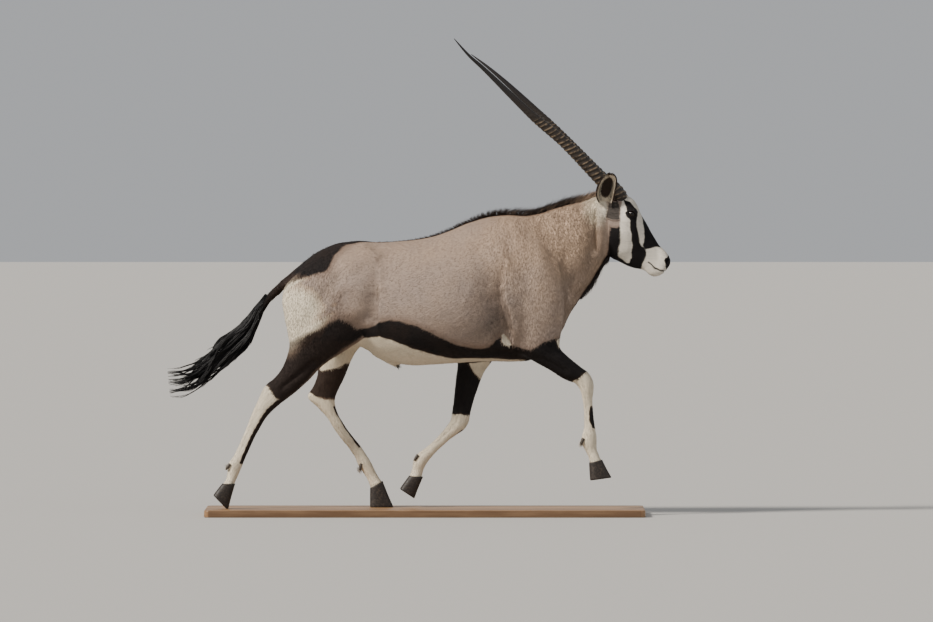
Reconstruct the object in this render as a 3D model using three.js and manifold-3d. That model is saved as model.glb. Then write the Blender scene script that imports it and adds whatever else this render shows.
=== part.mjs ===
// A gemsbok bull at the trot, life size, on a plain wooden base.
// Millimetres, +Z up, +X towards the nose. The bull's right side is the -Y side.
// The origin is the middle of the underside of the base.

import * as THREE from 'three';
import { mergeVertices } from 'three/addons/utils/BufferGeometryUtils.js';
import Module from 'manifold-3d';

const wasm = await Module();
wasm.setup();

// Driving dimensions
const GAP = 0.3;
const BASE = { length: 1800, width: 560, thick: 30, bevel: 5, corner: 24 };
const STAND_LEVEL = BASE.thick + GAP;
const BODY_SIDES = 22;
const NECK_SIDES = 20;
const HEAD_SIDES = 20;
const LEG_SIDES = 12;
const HOOF_SIDES = 10;
const HORN_SIDES = 8;
const RIGHT = -1;
const LEFT = 1;

const EYE = { radius: 19, x: 846, z: 1236, side: 66, facets: [12, 8] };
const LID = { radius: 17, thick: 4.6, open: 0.72, tilt: 0.9, out: 12, facets: [5, 14] };
const NOSTRIL = { x: 996, z: 1046, side: 23, long: 10, high: 5.5, deep: 9, tilt: 1.1, turn: 0.5 };
const MOUTH = { depth: 7, line: [[918, 1038], [945, 1018], [1012, 990], [1012, 987], [944, 1014]] };
const EAR = { length: 152, wall: 5, rows: 7, columns: 7, lean: 0.42, side: 54, x: 752, z: 1266 };
const EAR_CUP = { narrow: 12, widen: 26, shallow: 8, deepen: 24, least: 2, forward: 4 };
const EAR_ROOT = { top: 15, bottom: 17, long: 60, sides: 10, sunk: 6 };
const HORN = { base: 29, rings: 18, ridge: 1.7, ringed: 0.56, steps: 6, tip: 0.8, oval: 0.92 };
const HORN_SPREAD = { root: 31, tip: 165 };
const HOOF = { width: 32, flare: 5, middle: 17.5, splay: 4, egg: 0.28 };
const DEWCLAW = { length: 30, width: 17, thick: 13, side: 17, tip: 0.42, root: 0.5, sides: 8 };

// Seeded draw, the same on every run
function makeDraw(seed) {
  let state = seed;
  return (low, high) => {
    state = (state * 1664525 + 1013904223) % 4294967296;
    return low + (high - low) * (state / 4294967296);
  };
}

// One station of a form: its upper (or front) point and its lower (or rear) point as [x, z],
// its full width, the side offset of its middle, how much wider it is below than above, and
// how square its outline is (2 is an oval).
function at(upper, lower, width, { side = 0, egg = 0, square = 2 } = {}) {
  return [upper[0], upper[1], lower[0], lower[1], width, side, egg, square];
}

// Torso from the tail head to the breast
const TORSO = [
  at([-556, 975], [-556, 868], 120),
  at([-540, 1006], [-548, 815], 210, { egg: 0.1 }),
  at([-500, 1040], [-515, 770], 300, { egg: 0.12 }),
  at([-440, 1083], [-450, 735], 368, { egg: 0.1 }),
  at([-360, 1118], [-360, 705], 410, { egg: 0.06 }),
  at([-270, 1129], [-262, 686], 438, { egg: 0.04 }),
  at([-190, 1124], [-180, 640], 466, { egg: 0.08 }),
  at([-95, 1129], [-80, 613], 496, { egg: 0.12 }),
  at([0, 1141], [20, 613], 510, { egg: 0.16 }),
  at([90, 1167], [110, 620], 508, { egg: 0.2 }),
  at([175, 1203], [200, 626], 490, { egg: 0.26 }),
  at([260, 1228], [285, 628], 462, { egg: 0.3 }),
  at([345, 1238], [365, 627], 424, { egg: 0.3 }),
  at([420, 1232], [436, 634], 380, { egg: 0.26 }),
  at([478, 1200], [492, 668], 326, { egg: 0.16 }),
  at([520, 1120], [540, 726], 262, { egg: 0.06 }),
  at([550, 1000], [562, 800], 150),
];

// Sheath under the belly
const SHEATH = [
  at([-240, 720], [-214, 652], 84),
  at([-180, 690], [-166, 624], 68),
  at([-132, 655], [-126, 603], 44),
  at([-110, 630], [-108, 601], 20),
];

// Neck from inside the shoulders to inside the head
const NECK = [
  at([350, 1215], [440, 690], 300, { egg: 0.2 }),
  at([425, 1236], [548, 735], 290, { egg: 0.24 }),
  at([485, 1250], [583, 798], 262, { egg: 0.22 }),
  at([545, 1268], [612, 852], 234, { egg: 0.16 }),
  at([600, 1281], [646, 900], 212, { egg: 0.08 }),
  at([650, 1293], [680, 948], 194),
  at([695, 1309], [712, 1000], 176),
  at([732, 1318], [742, 1050], 150),
  at([762, 1290], [764, 1100], 110),
];

// Head from the nape to the lips, brow line above and jaw line below
const HEAD = [
  at([728, 1300], [738, 1080], 120),
  at([772, 1321], [760, 1054], 152, { egg: -0.04 }),
  at([816, 1319], [786, 1041], 166, { egg: -0.1 }),
  at([850, 1303], [812, 1029], 170, { egg: -0.2 }),
  at([870, 1277], [838, 1017], 156, { egg: -0.2 }),
  at([883, 1245], [862, 1009], 132, { egg: -0.12 }),
  at([902, 1212], [884, 1005], 110, { egg: -0.06 }),
  at([922, 1176], [902, 999], 96, { square: 2.2 }),
  at([942, 1141], [919, 984], 86, { square: 2.4 }),
  at([962, 1109], [936, 976], 82, { square: 2.6 }),
  at([980, 1092], [950, 977], 84, { square: 2.6 }),
  at([998, 1072], [964, 982], 82, { square: 2.5 }),
  at([1008, 1048], [977, 993], 66, { square: 2.3 }),
  at([1005, 1026], [988, 1006], 36),
];

// Shoulder and foreleg of the right side, reaching forward
const FORE_RIGHT = [
  at([452, 1150], [396, 1160], 70, { side: -70 }),
  at([520, 1040], [352, 1075], 130, { side: -112 }),
  at([560, 935], [328, 955], 150, { side: -128 }),
  at([574, 850], [330, 872], 150, { side: -132 }),
  at([566, 775], [345, 785], 146, { side: -126 }),
  at([556, 722], [366, 700], 132, { side: -118 }),
  at([556, 692], [420, 645], 116, { side: -114 }),
  at([574, 669], [492, 605], 104, { side: -112 }),
  at([604, 642], [545, 571], 92, { side: -110 }),
  at([640, 612], [584, 551], 78, { side: -107 }),
  at([672, 588], [607, 544], 68, { side: -104 }),
  at([691, 552], [624, 528], 68, { side: -102 }),
  at([694, 520], [634, 508], 66, { side: -100 }),
  at([690, 487], [640, 484], 50, { side: -99 }),
  at([691, 448], [645, 448], 40, { side: -98 }),
  at([695, 405], [648, 405], 38, { side: -96 }),
  at([700, 362], [647, 362], 42, { side: -95 }),
  at([706, 330], [638, 328], 54, { side: -94 }),
  at([706, 302], [638, 298], 56, { side: -94 }),
  at([708, 272], [654, 264], 48, { side: -94 }),
  at([716, 250], [666, 240], 54, { side: -94 }),
  at([728, 226], [672, 214], 66, { side: -94 }),
];

// Shoulder and foreleg of the left side, folded under the belly
const FORE_LEFT = [
  at([440, 1150], [384, 1160], 70, { side: 70 }),
  at([505, 1040], [335, 1075], 130, { side: 112 }),
  at([545, 930], [295, 955], 150, { side: 128 }),
  at([510, 830], [235, 870], 150, { side: 132 }),
  at([430, 745], [165, 785], 146, { side: 126 }),
  at([340, 678], [134, 705], 128, { side: 116 }),
  at([282, 630], [130, 640], 112, { side: 110 }),
  at([254, 596], [127, 598], 98, { side: 107 }),
  at([231, 548], [122, 548], 86, { side: 103 }),
  at([214, 500], [117, 498], 76, { side: 99 }),
  at([199, 452], [111, 448], 68, { side: 95 }),
  at([189, 412], [105, 405], 66, { side: 91 }),
  at([182, 378], [98, 382], 68, { side: 88 }),
  at([165, 350], [84, 362], 62, { side: 86 }),
  at([136, 330], [68, 342], 50, { side: 84 }),
  at([104, 307], [50, 322], 40, { side: 82 }),
  at([72, 277], [24, 297], 38, { side: 80 }),
  at([44, 250], [-6, 272], 42, { side: 78 }),
  at([20, 222], [-34, 250], 54, { side: 77 }),
  at([2, 194], [-50, 224], 56, { side: 76 }),
  at([-6, 170], [-58, 186], 48, { side: 76 }),
  at([-10, 150], [-68, 156], 64, { side: 76 }),
];

// Haunch and hind leg of the right side, pushing off behind
const HIND_RIGHT = [
  at([-330, 1082], [-450, 1040], 110, { side: -70 }),
  at([-252, 1000], [-555, 968], 170, { side: -104 }),
  at([-212, 915], [-586, 898], 186, { side: -116 }),
  at([-204, 830], [-578, 815], 186, { side: -120 }),
  at([-232, 745], [-564, 748], 170, { side: -116 }),
  at([-300, 690], [-558, 704], 146, { side: -112 }),
  at([-352, 658], [-562, 672], 128, { side: -110 }),
  at([-410, 620], [-576, 632], 108, { side: -107 }),
  at([-468, 560], [-595, 594], 90, { side: -104 }),
  at([-516, 514], [-620, 566], 74, { side: -101 }),
  at([-560, 479], [-646, 546], 64, { side: -99 }),
  at([-596, 452], [-664, 524], 64, { side: -97 }),
  at([-628, 422], [-676, 496], 60, { side: -95 }),
  at([-654, 390], [-694, 458], 50, { side: -93 }),
  at([-674, 356], [-716, 408], 42, { side: -92 }),
  at([-696, 312], [-740, 348], 38, { side: -91 }),
  at([-716, 270], [-764, 294], 38, { side: -90 }),
  at([-732, 232], [-786, 248], 46, { side: -89 }),
  at([-744, 204], [-808, 214], 56, { side: -88 }),
  at([-756, 176], [-812, 178], 50, { side: -88 }),
  at([-768, 150], [-818, 150], 52, { side: -88 }),
  at([-778, 126], [-832, 130], 64, { side: -88 }),
];

// Haunch and hind leg of the left side, brought forward under the belly
const HIND_LEFT = [
  at([-320, 1082], [-440, 1040], 110, { side: 70 }),
  at([-240, 1000], [-545, 968], 170, { side: 104 }),
  at([-192, 915], [-575, 898], 186, { side: 116 }),
  at([-176, 830], [-556, 815], 184, { side: 120 }),
  at([-190, 760], [-520, 735], 164, { side: 114 }),
  at([-236, 712], [-478, 670], 136, { side: 108 }),
  at([-276, 676], [-448, 620], 118, { side: 104 }),
  at([-298, 640], [-444, 586], 102, { side: 100 }),
  at([-314, 600], [-450, 556], 88, { side: 97 }),
  at([-332, 556], [-464, 524], 74, { side: 94 }),
  at([-352, 515], [-484, 494], 66, { side: 92 }),
  at([-365, 478], [-482, 474], 66, { side: 90 }),
  at([-364, 442], [-448, 442], 60, { side: 88 }),
  at([-350, 406], [-408, 398], 48, { side: 86 }),
  at([-326, 367], [-374, 344], 40, { side: 84 }),
  at([-298, 328], [-344, 304], 38, { side: 82 }),
  at([-270, 294], [-316, 270], 40, { side: 80 }),
  at([-248, 264], [-292, 234], 46, { side: 79 }),
  at([-228, 232], [-276, 198], 56, { side: 78 }),
  at([-212, 204], [-258, 172], 52, { side: 78 }),
  at([-196, 170], [-240, 142], 50, { side: 78 }),
  at([-172, 132], [-226, 104], 64, { side: 78 }),
];

// Each foot: the coronet's front and rear, then the toe and heel of the sole, as [x, z]
const FEET = {
  fore_right: { front: [728, 226], rear: [672, 214], toe: [764, 158], heel: [676, 146], side: -94 },
  fore_left: { front: [-10, 150], rear: [-68, 156], toe: [-44, 66], heel: [-104, 106], side: 76 },
  hind_right: { front: [-778, 126], rear: [-832, 130], toe: [-806, 24], heel: [-866, 86], side: -88 },
  hind_left: { front: [-172, 132], rear: [-226, 104], toe: [-130, 30.3], heel: [-226, 30.3], side: 78 },
};

// Dewclaws behind each fetlock: the root and the way they point, as [x, z]
const DEWCLAWS = {
  fore_right: { root: [642, 306], way: [-0.45, -0.9], side: -94 },
  fore_left: { root: [-38, 234], way: [-0.62, -0.78], side: 76 },
  hind_right: { root: [-807, 202], way: [-0.66, -0.75], side: -88 },
  hind_left: { root: [-266, 196], way: [-0.3, -0.95], side: 78 },
};

// Dock of the tail, first the stub that belongs to the rump and then the free length
const DOCK = [
  at([-500, 1034], [-520, 930], 110),
  at([-548, 1002], [-566, 926], 76),
  at([-596, 959], [-586, 912], 44),
  at([-641, 915], [-618, 884], 37),
  at([-676, 871], [-648, 853], 33),
  at([-701, 838], [-666, 822], 32),
];
const DOCK_CUT = 2;

// Middle line of the tail tuft with its half depth at each point, as [x, z, half]
const TUFT_LINE = [
  [-680, 844, 17],
  [-706, 796, 33],
  [-742, 745, 47],
  [-798, 689, 60],
  [-860, 631, 61],
  [-924, 580, 62],
  [-984, 556, 62],
  [-1046, 548, 66],
];
const TUFT = { locks: 20, width: 46, thick: 9, side: 0.62, steps: 4, wave: 5, seed: 11 };
const TUFT_RING = { inner: 0.45, outer: 0.96 };
const TUFT_CORE = { ends: [0, 0.12, 0.24, 0.34], deep: [0.95, 0.72, 0.5, 0.16] };
const GOLDEN_TURN = 2.39996;
const GOLDEN_SHARE = 0.618;

// Crest of the neck and withers that the mane grows on, and the throat that the beard grows on
const CREST = [
  [300, 1232],
  [350, 1237],
  [425, 1235],
  [485, 1249],
  [545, 1267],
  [600, 1280],
  [650, 1292],
  [704, 1310],
];
const MANE = { locks: 22, height: 31, sunk: 14, width: 38, thick: 6, lean: 0.75, offset: 3, seed: 5 };
const THROAT = [[750, 1044], [734, 1024], [718, 1001], [702, 976]];
const BEARD = { locks: 10, length: 74, width: 26, thick: 6, offset: 9, stand: 38, sunk: 12, seed: 3 };
const BEARD_WAY = { x: -0.62, z: -0.78 };
const LOCK_STEPS = 3;

// Where the flesh is parted: what lies over each outline of [x, z] points, within a range of y,
// is the named piece, taken in this order; the rest is the barrel
const CUTS = {
  fore_right: { outline: [[300, 535], [760, 845], [900, 845], [900, 20], [300, 20]], range: [-260, -20] },
  fore_left: { outline: [[-120, 611], [330, 611], [330, 20], [-120, 20]], range: [20, 260] },
  hind_right: { outline: [[-900, 782], [-262, 636], [-262, 20], [-900, 20]], range: [-260, 0] },
  hind_left: { outline: [[-560, 618], [-258, 676], [-215, 600], [-125, 20], [-560, 20]], range: [1, 260] },
  head: { outline: [[752, 960], [728, 1350], [1020, 1350], [1020, 960]], range: [-200, 200] },
  neck: { outline: [[590, 700], [410, 1300], [760, 1380], [760, 700]], range: [-300, 300] },
  rump: { outline: [[-215, 500], [-215, 1250], [-620, 1250], [-620, 500]], range: [-300, 300] },
  chest: { outline: [[235, 500], [235, 1350], [620, 1350], [620, 500]], range: [-300, 300] },
};

// Below these outlines each leg is its lower half, from the knee or hock down
const JOINTS = {
  fore_right: [[560, 540], [760, 540], [760, 100], [560, 100]],
  fore_left: [[-120, 395], [260, 395], [260, 20], [-120, 20]],
  hind_right: [[-740, 596], [-520, 424], [-520, 20], [-900, 20], [-900, 596]],
  hind_left: [[-520, 478], [-320, 478], [-100, 20], [-520, 20]],
};

// Colour, roughness and metalness of each finish
function finish(colour, roughness, metalness = 0) {
  return new THREE.MeshStandardMaterial({ color: colour, roughness, metalness });
}
const FAWN = finish(0xa08870, 0.85);
const DARK = finish(0x2a1d17, 0.8);
const WHITE = finish(0xd8d2c6, 0.85);
const HORN_BLACK = finish(0x2b241d, 0.45);
const HOOF_BLACK = finish(0x1c1815, 0.5);
const EYE_BROWN = finish(0x120b07, 0.1);
const OAK = finish(0x9a7248, 0.6);

// Cubic through the stations, one value at a time
function through(a, b, c, d, t) {
  const slopeIn = (c - a) / 2;
  const slopeOut = (d - b) / 2;
  const cube = 2 * b - 2 * c + slopeIn + slopeOut;
  const square = -3 * b + 3 * c - 2 * slopeIn - slopeOut;
  return ((cube * t + square) * t + slopeIn) * t + b;
}

// The stations with as many steps added between each pair as asked
function refine(stations, steps) {
  const last = stations.length - 1;
  const fine = [];
  for (let i = 0; i < last; i += 1) {
    const before = stations[Math.max(i - 1, 0)];
    const after = stations[Math.min(i + 2, last)];
    for (let k = 0; k < steps; k += 1) {
      const next = stations[i + 1];
      fine.push(stations[i].map((value, f) => through(before[f], value, next[f], after[f], k / steps)));
    }
  }
  fine.push(stations[last]);
  return fine;
}

// One closed oval of points round a station, grown outwards where a clearance is wanted
function ovalAt(station, sides, grow) {
  const [ux, uz, lx, lz, width, side, egg, square] = station;
  const length = Math.hypot(ux - lx, uz - lz);
  const stretch = (length / 2 + grow) / length;
  const points = [];
  for (let i = 0; i < sides; i += 1) {
    const angle = (2 * Math.PI * i) / sides;
    const up = Math.sign(Math.cos(angle)) * Math.abs(Math.cos(angle)) ** (2 / square);
    const out = Math.sign(Math.sin(angle)) * Math.abs(Math.sin(angle)) ** (2 / square);
    const x = (ux + lx) / 2 + (ux - lx) * stretch * up;
    const z = (uz + lz) / 2 + (uz - lz) * stretch * up;
    const y = side + (width / 2 + grow) * out * (1 - egg * up);
    points.push(new THREE.Vector3(x, y, z));
  }
  return points;
}

// Turns the faces of a closed shape outwards and makes it a geometry
function closedGeometry(points, faces) {
  let volume = 0;
  for (const [a, b, c] of faces) {
    volume += points[a].dot(new THREE.Vector3().crossVectors(points[b], points[c]));
  }
  const turned = volume < 0 ? faces.map(([a, b, c]) => [a, c, b]) : faces;
  const geometry = new THREE.BufferGeometry().setFromPoints(points);
  geometry.setIndex(turned.flat());
  return geometry;
}

// A closed skin over a row of rings, with a flat end or a point at either end
function skinRings(rings) {
  const sides = rings[0].length;
  const points = rings.flat();
  const faces = [];
  for (let r = 0; r + 1 < rings.length; r += 1) {
    for (let i = 0; i < sides; i += 1) {
      const a = r * sides + i;
      const b = r * sides + ((i + 1) % sides);
      faces.push([a, b, a + sides], [b, b + sides, a + sides]);
    }
  }
  for (const [ring, start] of [[rings[0], 0], [rings.at(-1), (rings.length - 1) * sides]]) {
    const middle = new THREE.Vector3();
    ring.forEach((point) => middle.addScaledVector(point, 1 / sides));
    const centre = points.push(middle) - 1;
    for (let i = 0; i < sides; i += 1) {
      const pair = [start + i, start + ((i + 1) % sides)];
      faces.push(start === 0 ? [centre, pair[1], pair[0]] : [centre, pair[0], pair[1]]);
    }
  }
  return closedGeometry(points, faces);
}

// A thin closed wall between an outer and an inner grid of points
function skinWall(outer, inner) {
  const rows = outer.length;
  const columns = outer[0].length;
  const points = [...outer.flat(), ...inner.flat()];
  const shift = rows * columns;
  const faces = [];
  const quad = (a, b, c, d) => faces.push([a, b, c], [a, c, d]);
  for (let r = 0; r + 1 < rows; r += 1) {
    for (let c = 0; c + 1 < columns; c += 1) {
      const a = r * columns + c;
      quad(a, a + 1, a + columns + 1, a + columns);
      quad(shift + a, shift + a + columns, shift + a + columns + 1, shift + a + 1);
    }
    const left = r * columns;
    const right = left + columns - 1;
    quad(left, left + columns, shift + left + columns, shift + left);
    quad(right + columns, right, shift + right, shift + right + columns);
  }
  for (let c = 0; c + 1 < columns; c += 1) {
    const top = (rows - 1) * columns + c;
    quad(c + 1, c, shift + c, shift + c + 1);
    quad(top, top + 1, shift + top + 1, shift + top);
  }
  return closedGeometry(points, faces);
}

// A three.js geometry as a solid that can be joined and cut
function toSolid(geometry) {
  const bare = geometry.clone();
  bare.deleteAttribute('normal');
  bare.deleteAttribute('uv');
  const merged = mergeVertices(bare, 1e-4);
  const vertProperties = new Float32Array(merged.attributes.position.array);
  const triVerts = new Uint32Array(merged.index.array);
  return new wasm.Manifold(new wasm.Mesh({ numProp: 3, vertProperties, triVerts }));
}

function toGeometry(solid) {
  const mesh = solid.getMesh();
  const geometry = new THREE.BufferGeometry();
  geometry.setAttribute('position', new THREE.BufferAttribute(new Float32Array(mesh.vertProperties), 3));
  geometry.setIndex(new THREE.BufferAttribute(new Uint32Array(mesh.triVerts), 1));
  geometry.computeVertexNormals();
  return geometry;
}

function joinAll(solids) {
  return solids.reduce((whole, piece) => whole.add(piece));
}

// The largest closed surface of a solid, which drops scraps and fills sealed hollows
function largest(solid) {
  return solid.decompose().reduce((best, piece) => (piece.volume() > best.volume() ? piece : best));
}

function form(stations, sides, { steps = 1, grow = 0 } = {}) {
  return toSolid(skinRings(refine(stations, steps).map((station) => ovalAt(station, sides, grow))));
}

// A prism over an outline of [x, z] points, grown sideways where a clearance is wanted
function prism(outline, [near, far], grow = 0) {
  const count = outline.length;
  const grown = outline.map((point, i) => {
    const before = outline[(i + count - 1) % count];
    const after = outline[(i + 1) % count];
    const into = new THREE.Vector2(point[0] - before[0], point[1] - before[1]).normalize();
    const away = new THREE.Vector2(after[0] - point[0], after[1] - point[1]).normalize();
    const reach = grow / Math.abs(into.cross(away));
    return new THREE.Vector2(...point).addScaledVector(into, reach).addScaledVector(away, -reach);
  });
  const block = new THREE.ExtrudeGeometry(new THREE.Shape(grown), { depth: far - near, bevelEnabled: false });
  block.rotateX(Math.PI / 2);
  block.translate(0, far, 0);
  return toSolid(block);
}

// Parts a solid with a thin cut into what lies over a convex outline and the rest
function part(solid, outline, range) {
  const inside = solid.intersect(prism(outline, range));
  const rest = solid.subtract(prism(outline, range, GAP));
  return [largest(inside), largest(rest)];
}

// A flat lock that tapers along its path; across gives the direction of its width
function lockAlong(path, across, width, thick) {
  const rings = [];
  const last = path.length - 1;
  for (let i = 0; i < last; i += 1) {
    const run = i / last;
    const along = path[i + 1].clone().sub(path[Math.max(i - 1, 0)]).normalize();
    const sideways = across.clone().addScaledVector(along, -across.dot(along)).normalize();
    const normal = new THREE.Vector3().crossVectors(along, sideways);
    const half = (width / 2) * (0.72 + 1.1 * run - 1.5 * run * run);
    const deep = (thick / 2) * (1 - 0.6 * run);
    rings.push([
      path[i].clone().addScaledVector(sideways, half),
      path[i].clone().addScaledVector(normal, deep),
      path[i].clone().addScaledVector(sideways, -half),
      path[i].clone().addScaledVector(normal, -deep),
    ]);
  }
  const tip = rings.at(-1).map((point) => path[last].clone().lerp(point, 0.06));
  return toSolid(skinRings([...rings, tip]));
}

// A point along a row of [x, z, ...] stations, with t from 0 to 1
function alongRow(row, t) {
  const place = Math.min(Math.max(t, 0), 0.9999) * (row.length - 1);
  const i = Math.floor(place);
  const before = row[Math.max(i - 1, 0)];
  const after = row[Math.min(i + 2, row.length - 1)];
  return row[i].map((value, f) => through(before[f], value, row[i + 1][f], after[f], place - i));
}

// Points of a path, one for each step from its root to its tip
function steps(count, pointAt) {
  return Array.from({ length: count + 1 }, (_, k) => pointAt(k / count));
}

// Short stiff locks that stand along the crest of the neck and lean forward
function maneLocks() {
  const draw = makeDraw(MANE.seed);
  const locks = [];
  for (let i = 0; i < MANE.locks; i += 1) {
    const t = (i + 0.5) / MANE.locks;
    const [x, z] = alongRow(CREST, t);
    const height = MANE.height * (0.72 + 0.28 * Math.sin(Math.PI * t)) * draw(0.88, 1.12);
    const lean = MANE.lean * draw(0.8, 1.2);
    const side = (i % 2 === 0 ? 1 : -1) * MANE.offset * draw(0.6, 1.2);
    const path = steps(LOCK_STEPS, (run) => {
      const forward = lean * height * run * (0.6 + 0.4 * run);
      const rise = (height + MANE.sunk) * run - MANE.sunk;
      return new THREE.Vector3(x + forward, side * (1 + run * 0.4), z + rise);
    });
    locks.push(lockAlong(path, new THREE.Vector3(1, 0.12 * draw(-1, 1), 0), MANE.width, MANE.thick));
  }
  return locks;
}

// The black beard that hangs along the throat
function beardLocks() {
  const draw = makeDraw(BEARD.seed);
  const locks = [];
  for (let i = 0; i < BEARD.locks; i += 1) {
    const t = (i + 0.5) / BEARD.locks;
    const [x, z] = alongRow(THROAT, t);
    const length = BEARD.length * (0.7 + 0.5 * Math.sin(Math.PI * t)) * draw(0.85, 1.15);
    const side = ((i % 3) - 1) * BEARD.offset * draw(0.7, 1.2);
    const along = new THREE.Vector3(BEARD_WAY.x, 0, BEARD_WAY.z);
    const outward = new THREE.Vector3(-BEARD_WAY.z, 0, BEARD_WAY.x);
    const path = steps(LOCK_STEPS, (run) => {
      const point = new THREE.Vector3(x, side * (1 + 0.3 * run), z).addScaledVector(along, length * run);
      return point.addScaledVector(outward, BEARD.stand * Math.sin(2.2 * run) - BEARD.sunk);
    });
    locks.push(lockAlong(path, new THREE.Vector3(0.5, 1, 0.1 * draw(-1, 1)), BEARD.width, BEARD.thick));
  }
  return locks;
}

// Long locks that follow the tail's line from the core to the loose tips
function tuftLocks() {
  const draw = makeDraw(TUFT.seed);
  const locks = [];
  for (let i = 0; i < TUFT.locks; i += 1) {
    const turn = i * GOLDEN_TURN;
    const ring = i < TUFT.locks / 3 ? TUFT_RING.inner : TUFT_RING.outer;
    const start = 0.04 + 0.3 * ((i * GOLDEN_SHARE) % 1);
    const end = Math.min(start + draw(0.55, 1), 0.995);
    const path = steps(TUFT.steps, (run) => {
      const t = start + (end - start) * run;
      const [x, z, half] = alongRow(TUFT_LINE, t);
      const ahead = alongRow(TUFT_LINE, Math.min(t + 0.02, 0.999));
      const along = new THREE.Vector3(ahead[0] - x, 0, ahead[1] - z).normalize();
      const up = new THREE.Vector3(-along.z, 0, along.x);
      const spread = ring * (0.28 + 0.72 * Math.min(run * 2.4, 1));
      const wave = TUFT.wave * Math.sin(run * 5 + turn);
      const point = new THREE.Vector3(x, 0, z);
      point.addScaledVector(up, Math.cos(turn) * spread * half + wave);
      point.y = Math.sin(turn) * spread * half * TUFT.side + 0.6 * wave;
      return point;
    });
    const across = new THREE.Vector3(Math.sin(turn) * 0.8, Math.cos(turn), Math.sin(turn) * 0.6);
    locks.push(lockAlong(path, across, TUFT.width * draw(0.8, 1.15), TUFT.thick));
  }
  return locks;
}

// The core of the tuft, which ends less than half way to the tips
function tuftCore() {
  const stations = TUFT_CORE.ends.map((t, i) => {
    const [x, z, half] = alongRow(TUFT_LINE, t);
    const deep = half * TUFT_CORE.deep[i];
    return at([x - deep * 0.7, z + deep * 0.7], [x + deep * 0.7, z - deep * 0.7], 1.5 * deep);
  });
  return form(stations, LEG_SIDES);
}

// One horn: a long cone along a nearly straight line, ringed below and smooth above
function horn(line, side) {
  const points = line.map(([x, z], i) => {
    const run = i / (line.length - 1);
    const apart = HORN_SPREAD.root + (HORN_SPREAD.tip - HORN_SPREAD.root) * run ** 1.1;
    return new THREE.Vector3(x, side * apart, z);
  });
  const curve = new THREE.CatmullRomCurve3(points);
  const places = [];
  for (let i = 0; i < HORN.rings * 2; i += 1) {
    places.push([(HORN.ringed * i) / (HORN.rings * 2), i % 2 === 0 ? -1 : 1]);
  }
  for (let i = 0; i <= HORN.steps; i += 1) {
    places.push([HORN.ringed + ((0.998 - HORN.ringed) * i) / HORN.steps, 0]);
  }
  const rings = places.map(([t, ridge]) => {
    const centre = curve.getPointAt(t);
    const along = curve.getTangentAt(t);
    const across = new THREE.Vector3(0, 1, 0).addScaledVector(along, -along.y).normalize();
    const upward = new THREE.Vector3().crossVectors(along, across);
    const radius = HORN.base * (1 - t) ** 0.72 + HORN.tip + HORN.ridge * ridge * (1 - t);
    return Array.from({ length: HORN_SIDES }, (_, k) => {
      const angle = (2 * Math.PI * k) / HORN_SIDES;
      const point = centre.clone().addScaledVector(across, radius * HORN.oval * Math.cos(angle));
      return point.addScaledVector(upward, radius * Math.sin(angle));
    });
  });
  return toSolid(skinRings(rings));
}

// One ear: a leaf-shaped cup that opens outwards, on a short round root
function ear(side) {
  const up = new THREE.Vector3(0.06, side * EAR.lean, 1).normalize();
  const wide = new THREE.Vector3(1, 0, -0.06).normalize();
  const face = new THREE.Vector3().crossVectors(up, wide).multiplyScalar(-side).normalize();
  const grid = (wall) => Array.from({ length: EAR.rows }, (_, r) => {
    const run = r / (EAR.rows - 1);
    const bulge = Math.sin(Math.PI * run ** 0.95) ** 0.75;
    const half = Math.max(EAR_CUP.narrow + EAR_CUP.widen * bulge - wall, EAR_CUP.least);
    const hollow = Math.sin(Math.PI * (0.25 + 0.75 * run));
    const deep = Math.max(EAR_CUP.shallow + EAR_CUP.deepen * hollow - wall, EAR_CUP.least);
    return Array.from({ length: EAR.columns }, (_, c) => {
      const angle = Math.PI * (c / (EAR.columns - 1) - 0.5);
      const point = new THREE.Vector3(EAR.x, side * EAR.side, EAR.z);
      point.addScaledVector(up, EAR.length * run - wall * run);
      point.addScaledVector(wide, half * Math.sin(angle));
      return point.addScaledVector(face, EAR_CUP.forward - deep * Math.cos(angle));
    });
  });
  const root = new THREE.CylinderGeometry(EAR_ROOT.top, EAR_ROOT.bottom, EAR_ROOT.long, EAR_ROOT.sides);
  root.rotateX(Math.PI / 2);
  const turn = new THREE.Quaternion().setFromUnitVectors(new THREE.Vector3(0, 0, 1), up);
  root.applyQuaternion(turn);
  root.translate(EAR.x, side * (EAR.side - EAR_ROOT.sunk), EAR.z - EAR_ROOT.sunk);
  return toSolid(skinWall(grid(0), grid(EAR.wall))).add(toSolid(root));
}

// One toe of a cloven hoof, from the coronet down to the sole
function toe(foot, which) {
  const { front, rear, toe: tip, heel, side } = foot;
  const stations = [0, 0.3, 0.7, 1].map((run) => {
    const mix = (a, b) => [a[0] + (b[0] - a[0]) * run, a[1] + (b[1] - a[1]) * run];
    const middle = side + which * (HOOF.middle + HOOF.splay * run);
    const width = HOOF.width + HOOF.flare * run;
    return at(mix(front, tip), mix(rear, heel), width, { side: middle, egg: HOOF.egg * run });
  });
  const start = new THREE.Vector2(front[0] - rear[0], front[1] - rear[1]).normalize();
  stations[0][0] += start.y * GAP;
  stations[0][2] += start.y * GAP;
  stations[0][1] -= start.x * GAP;
  stations[0][3] -= start.x * GAP;
  const shape = form(stations, HOOF_SIDES);
  const below = [[-900, STAND_LEVEL], [900, STAND_LEVEL], [900, 0], [-900, 0]];
  return largest(shape.subtract(prism(below, [-300, 300])));
}

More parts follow.
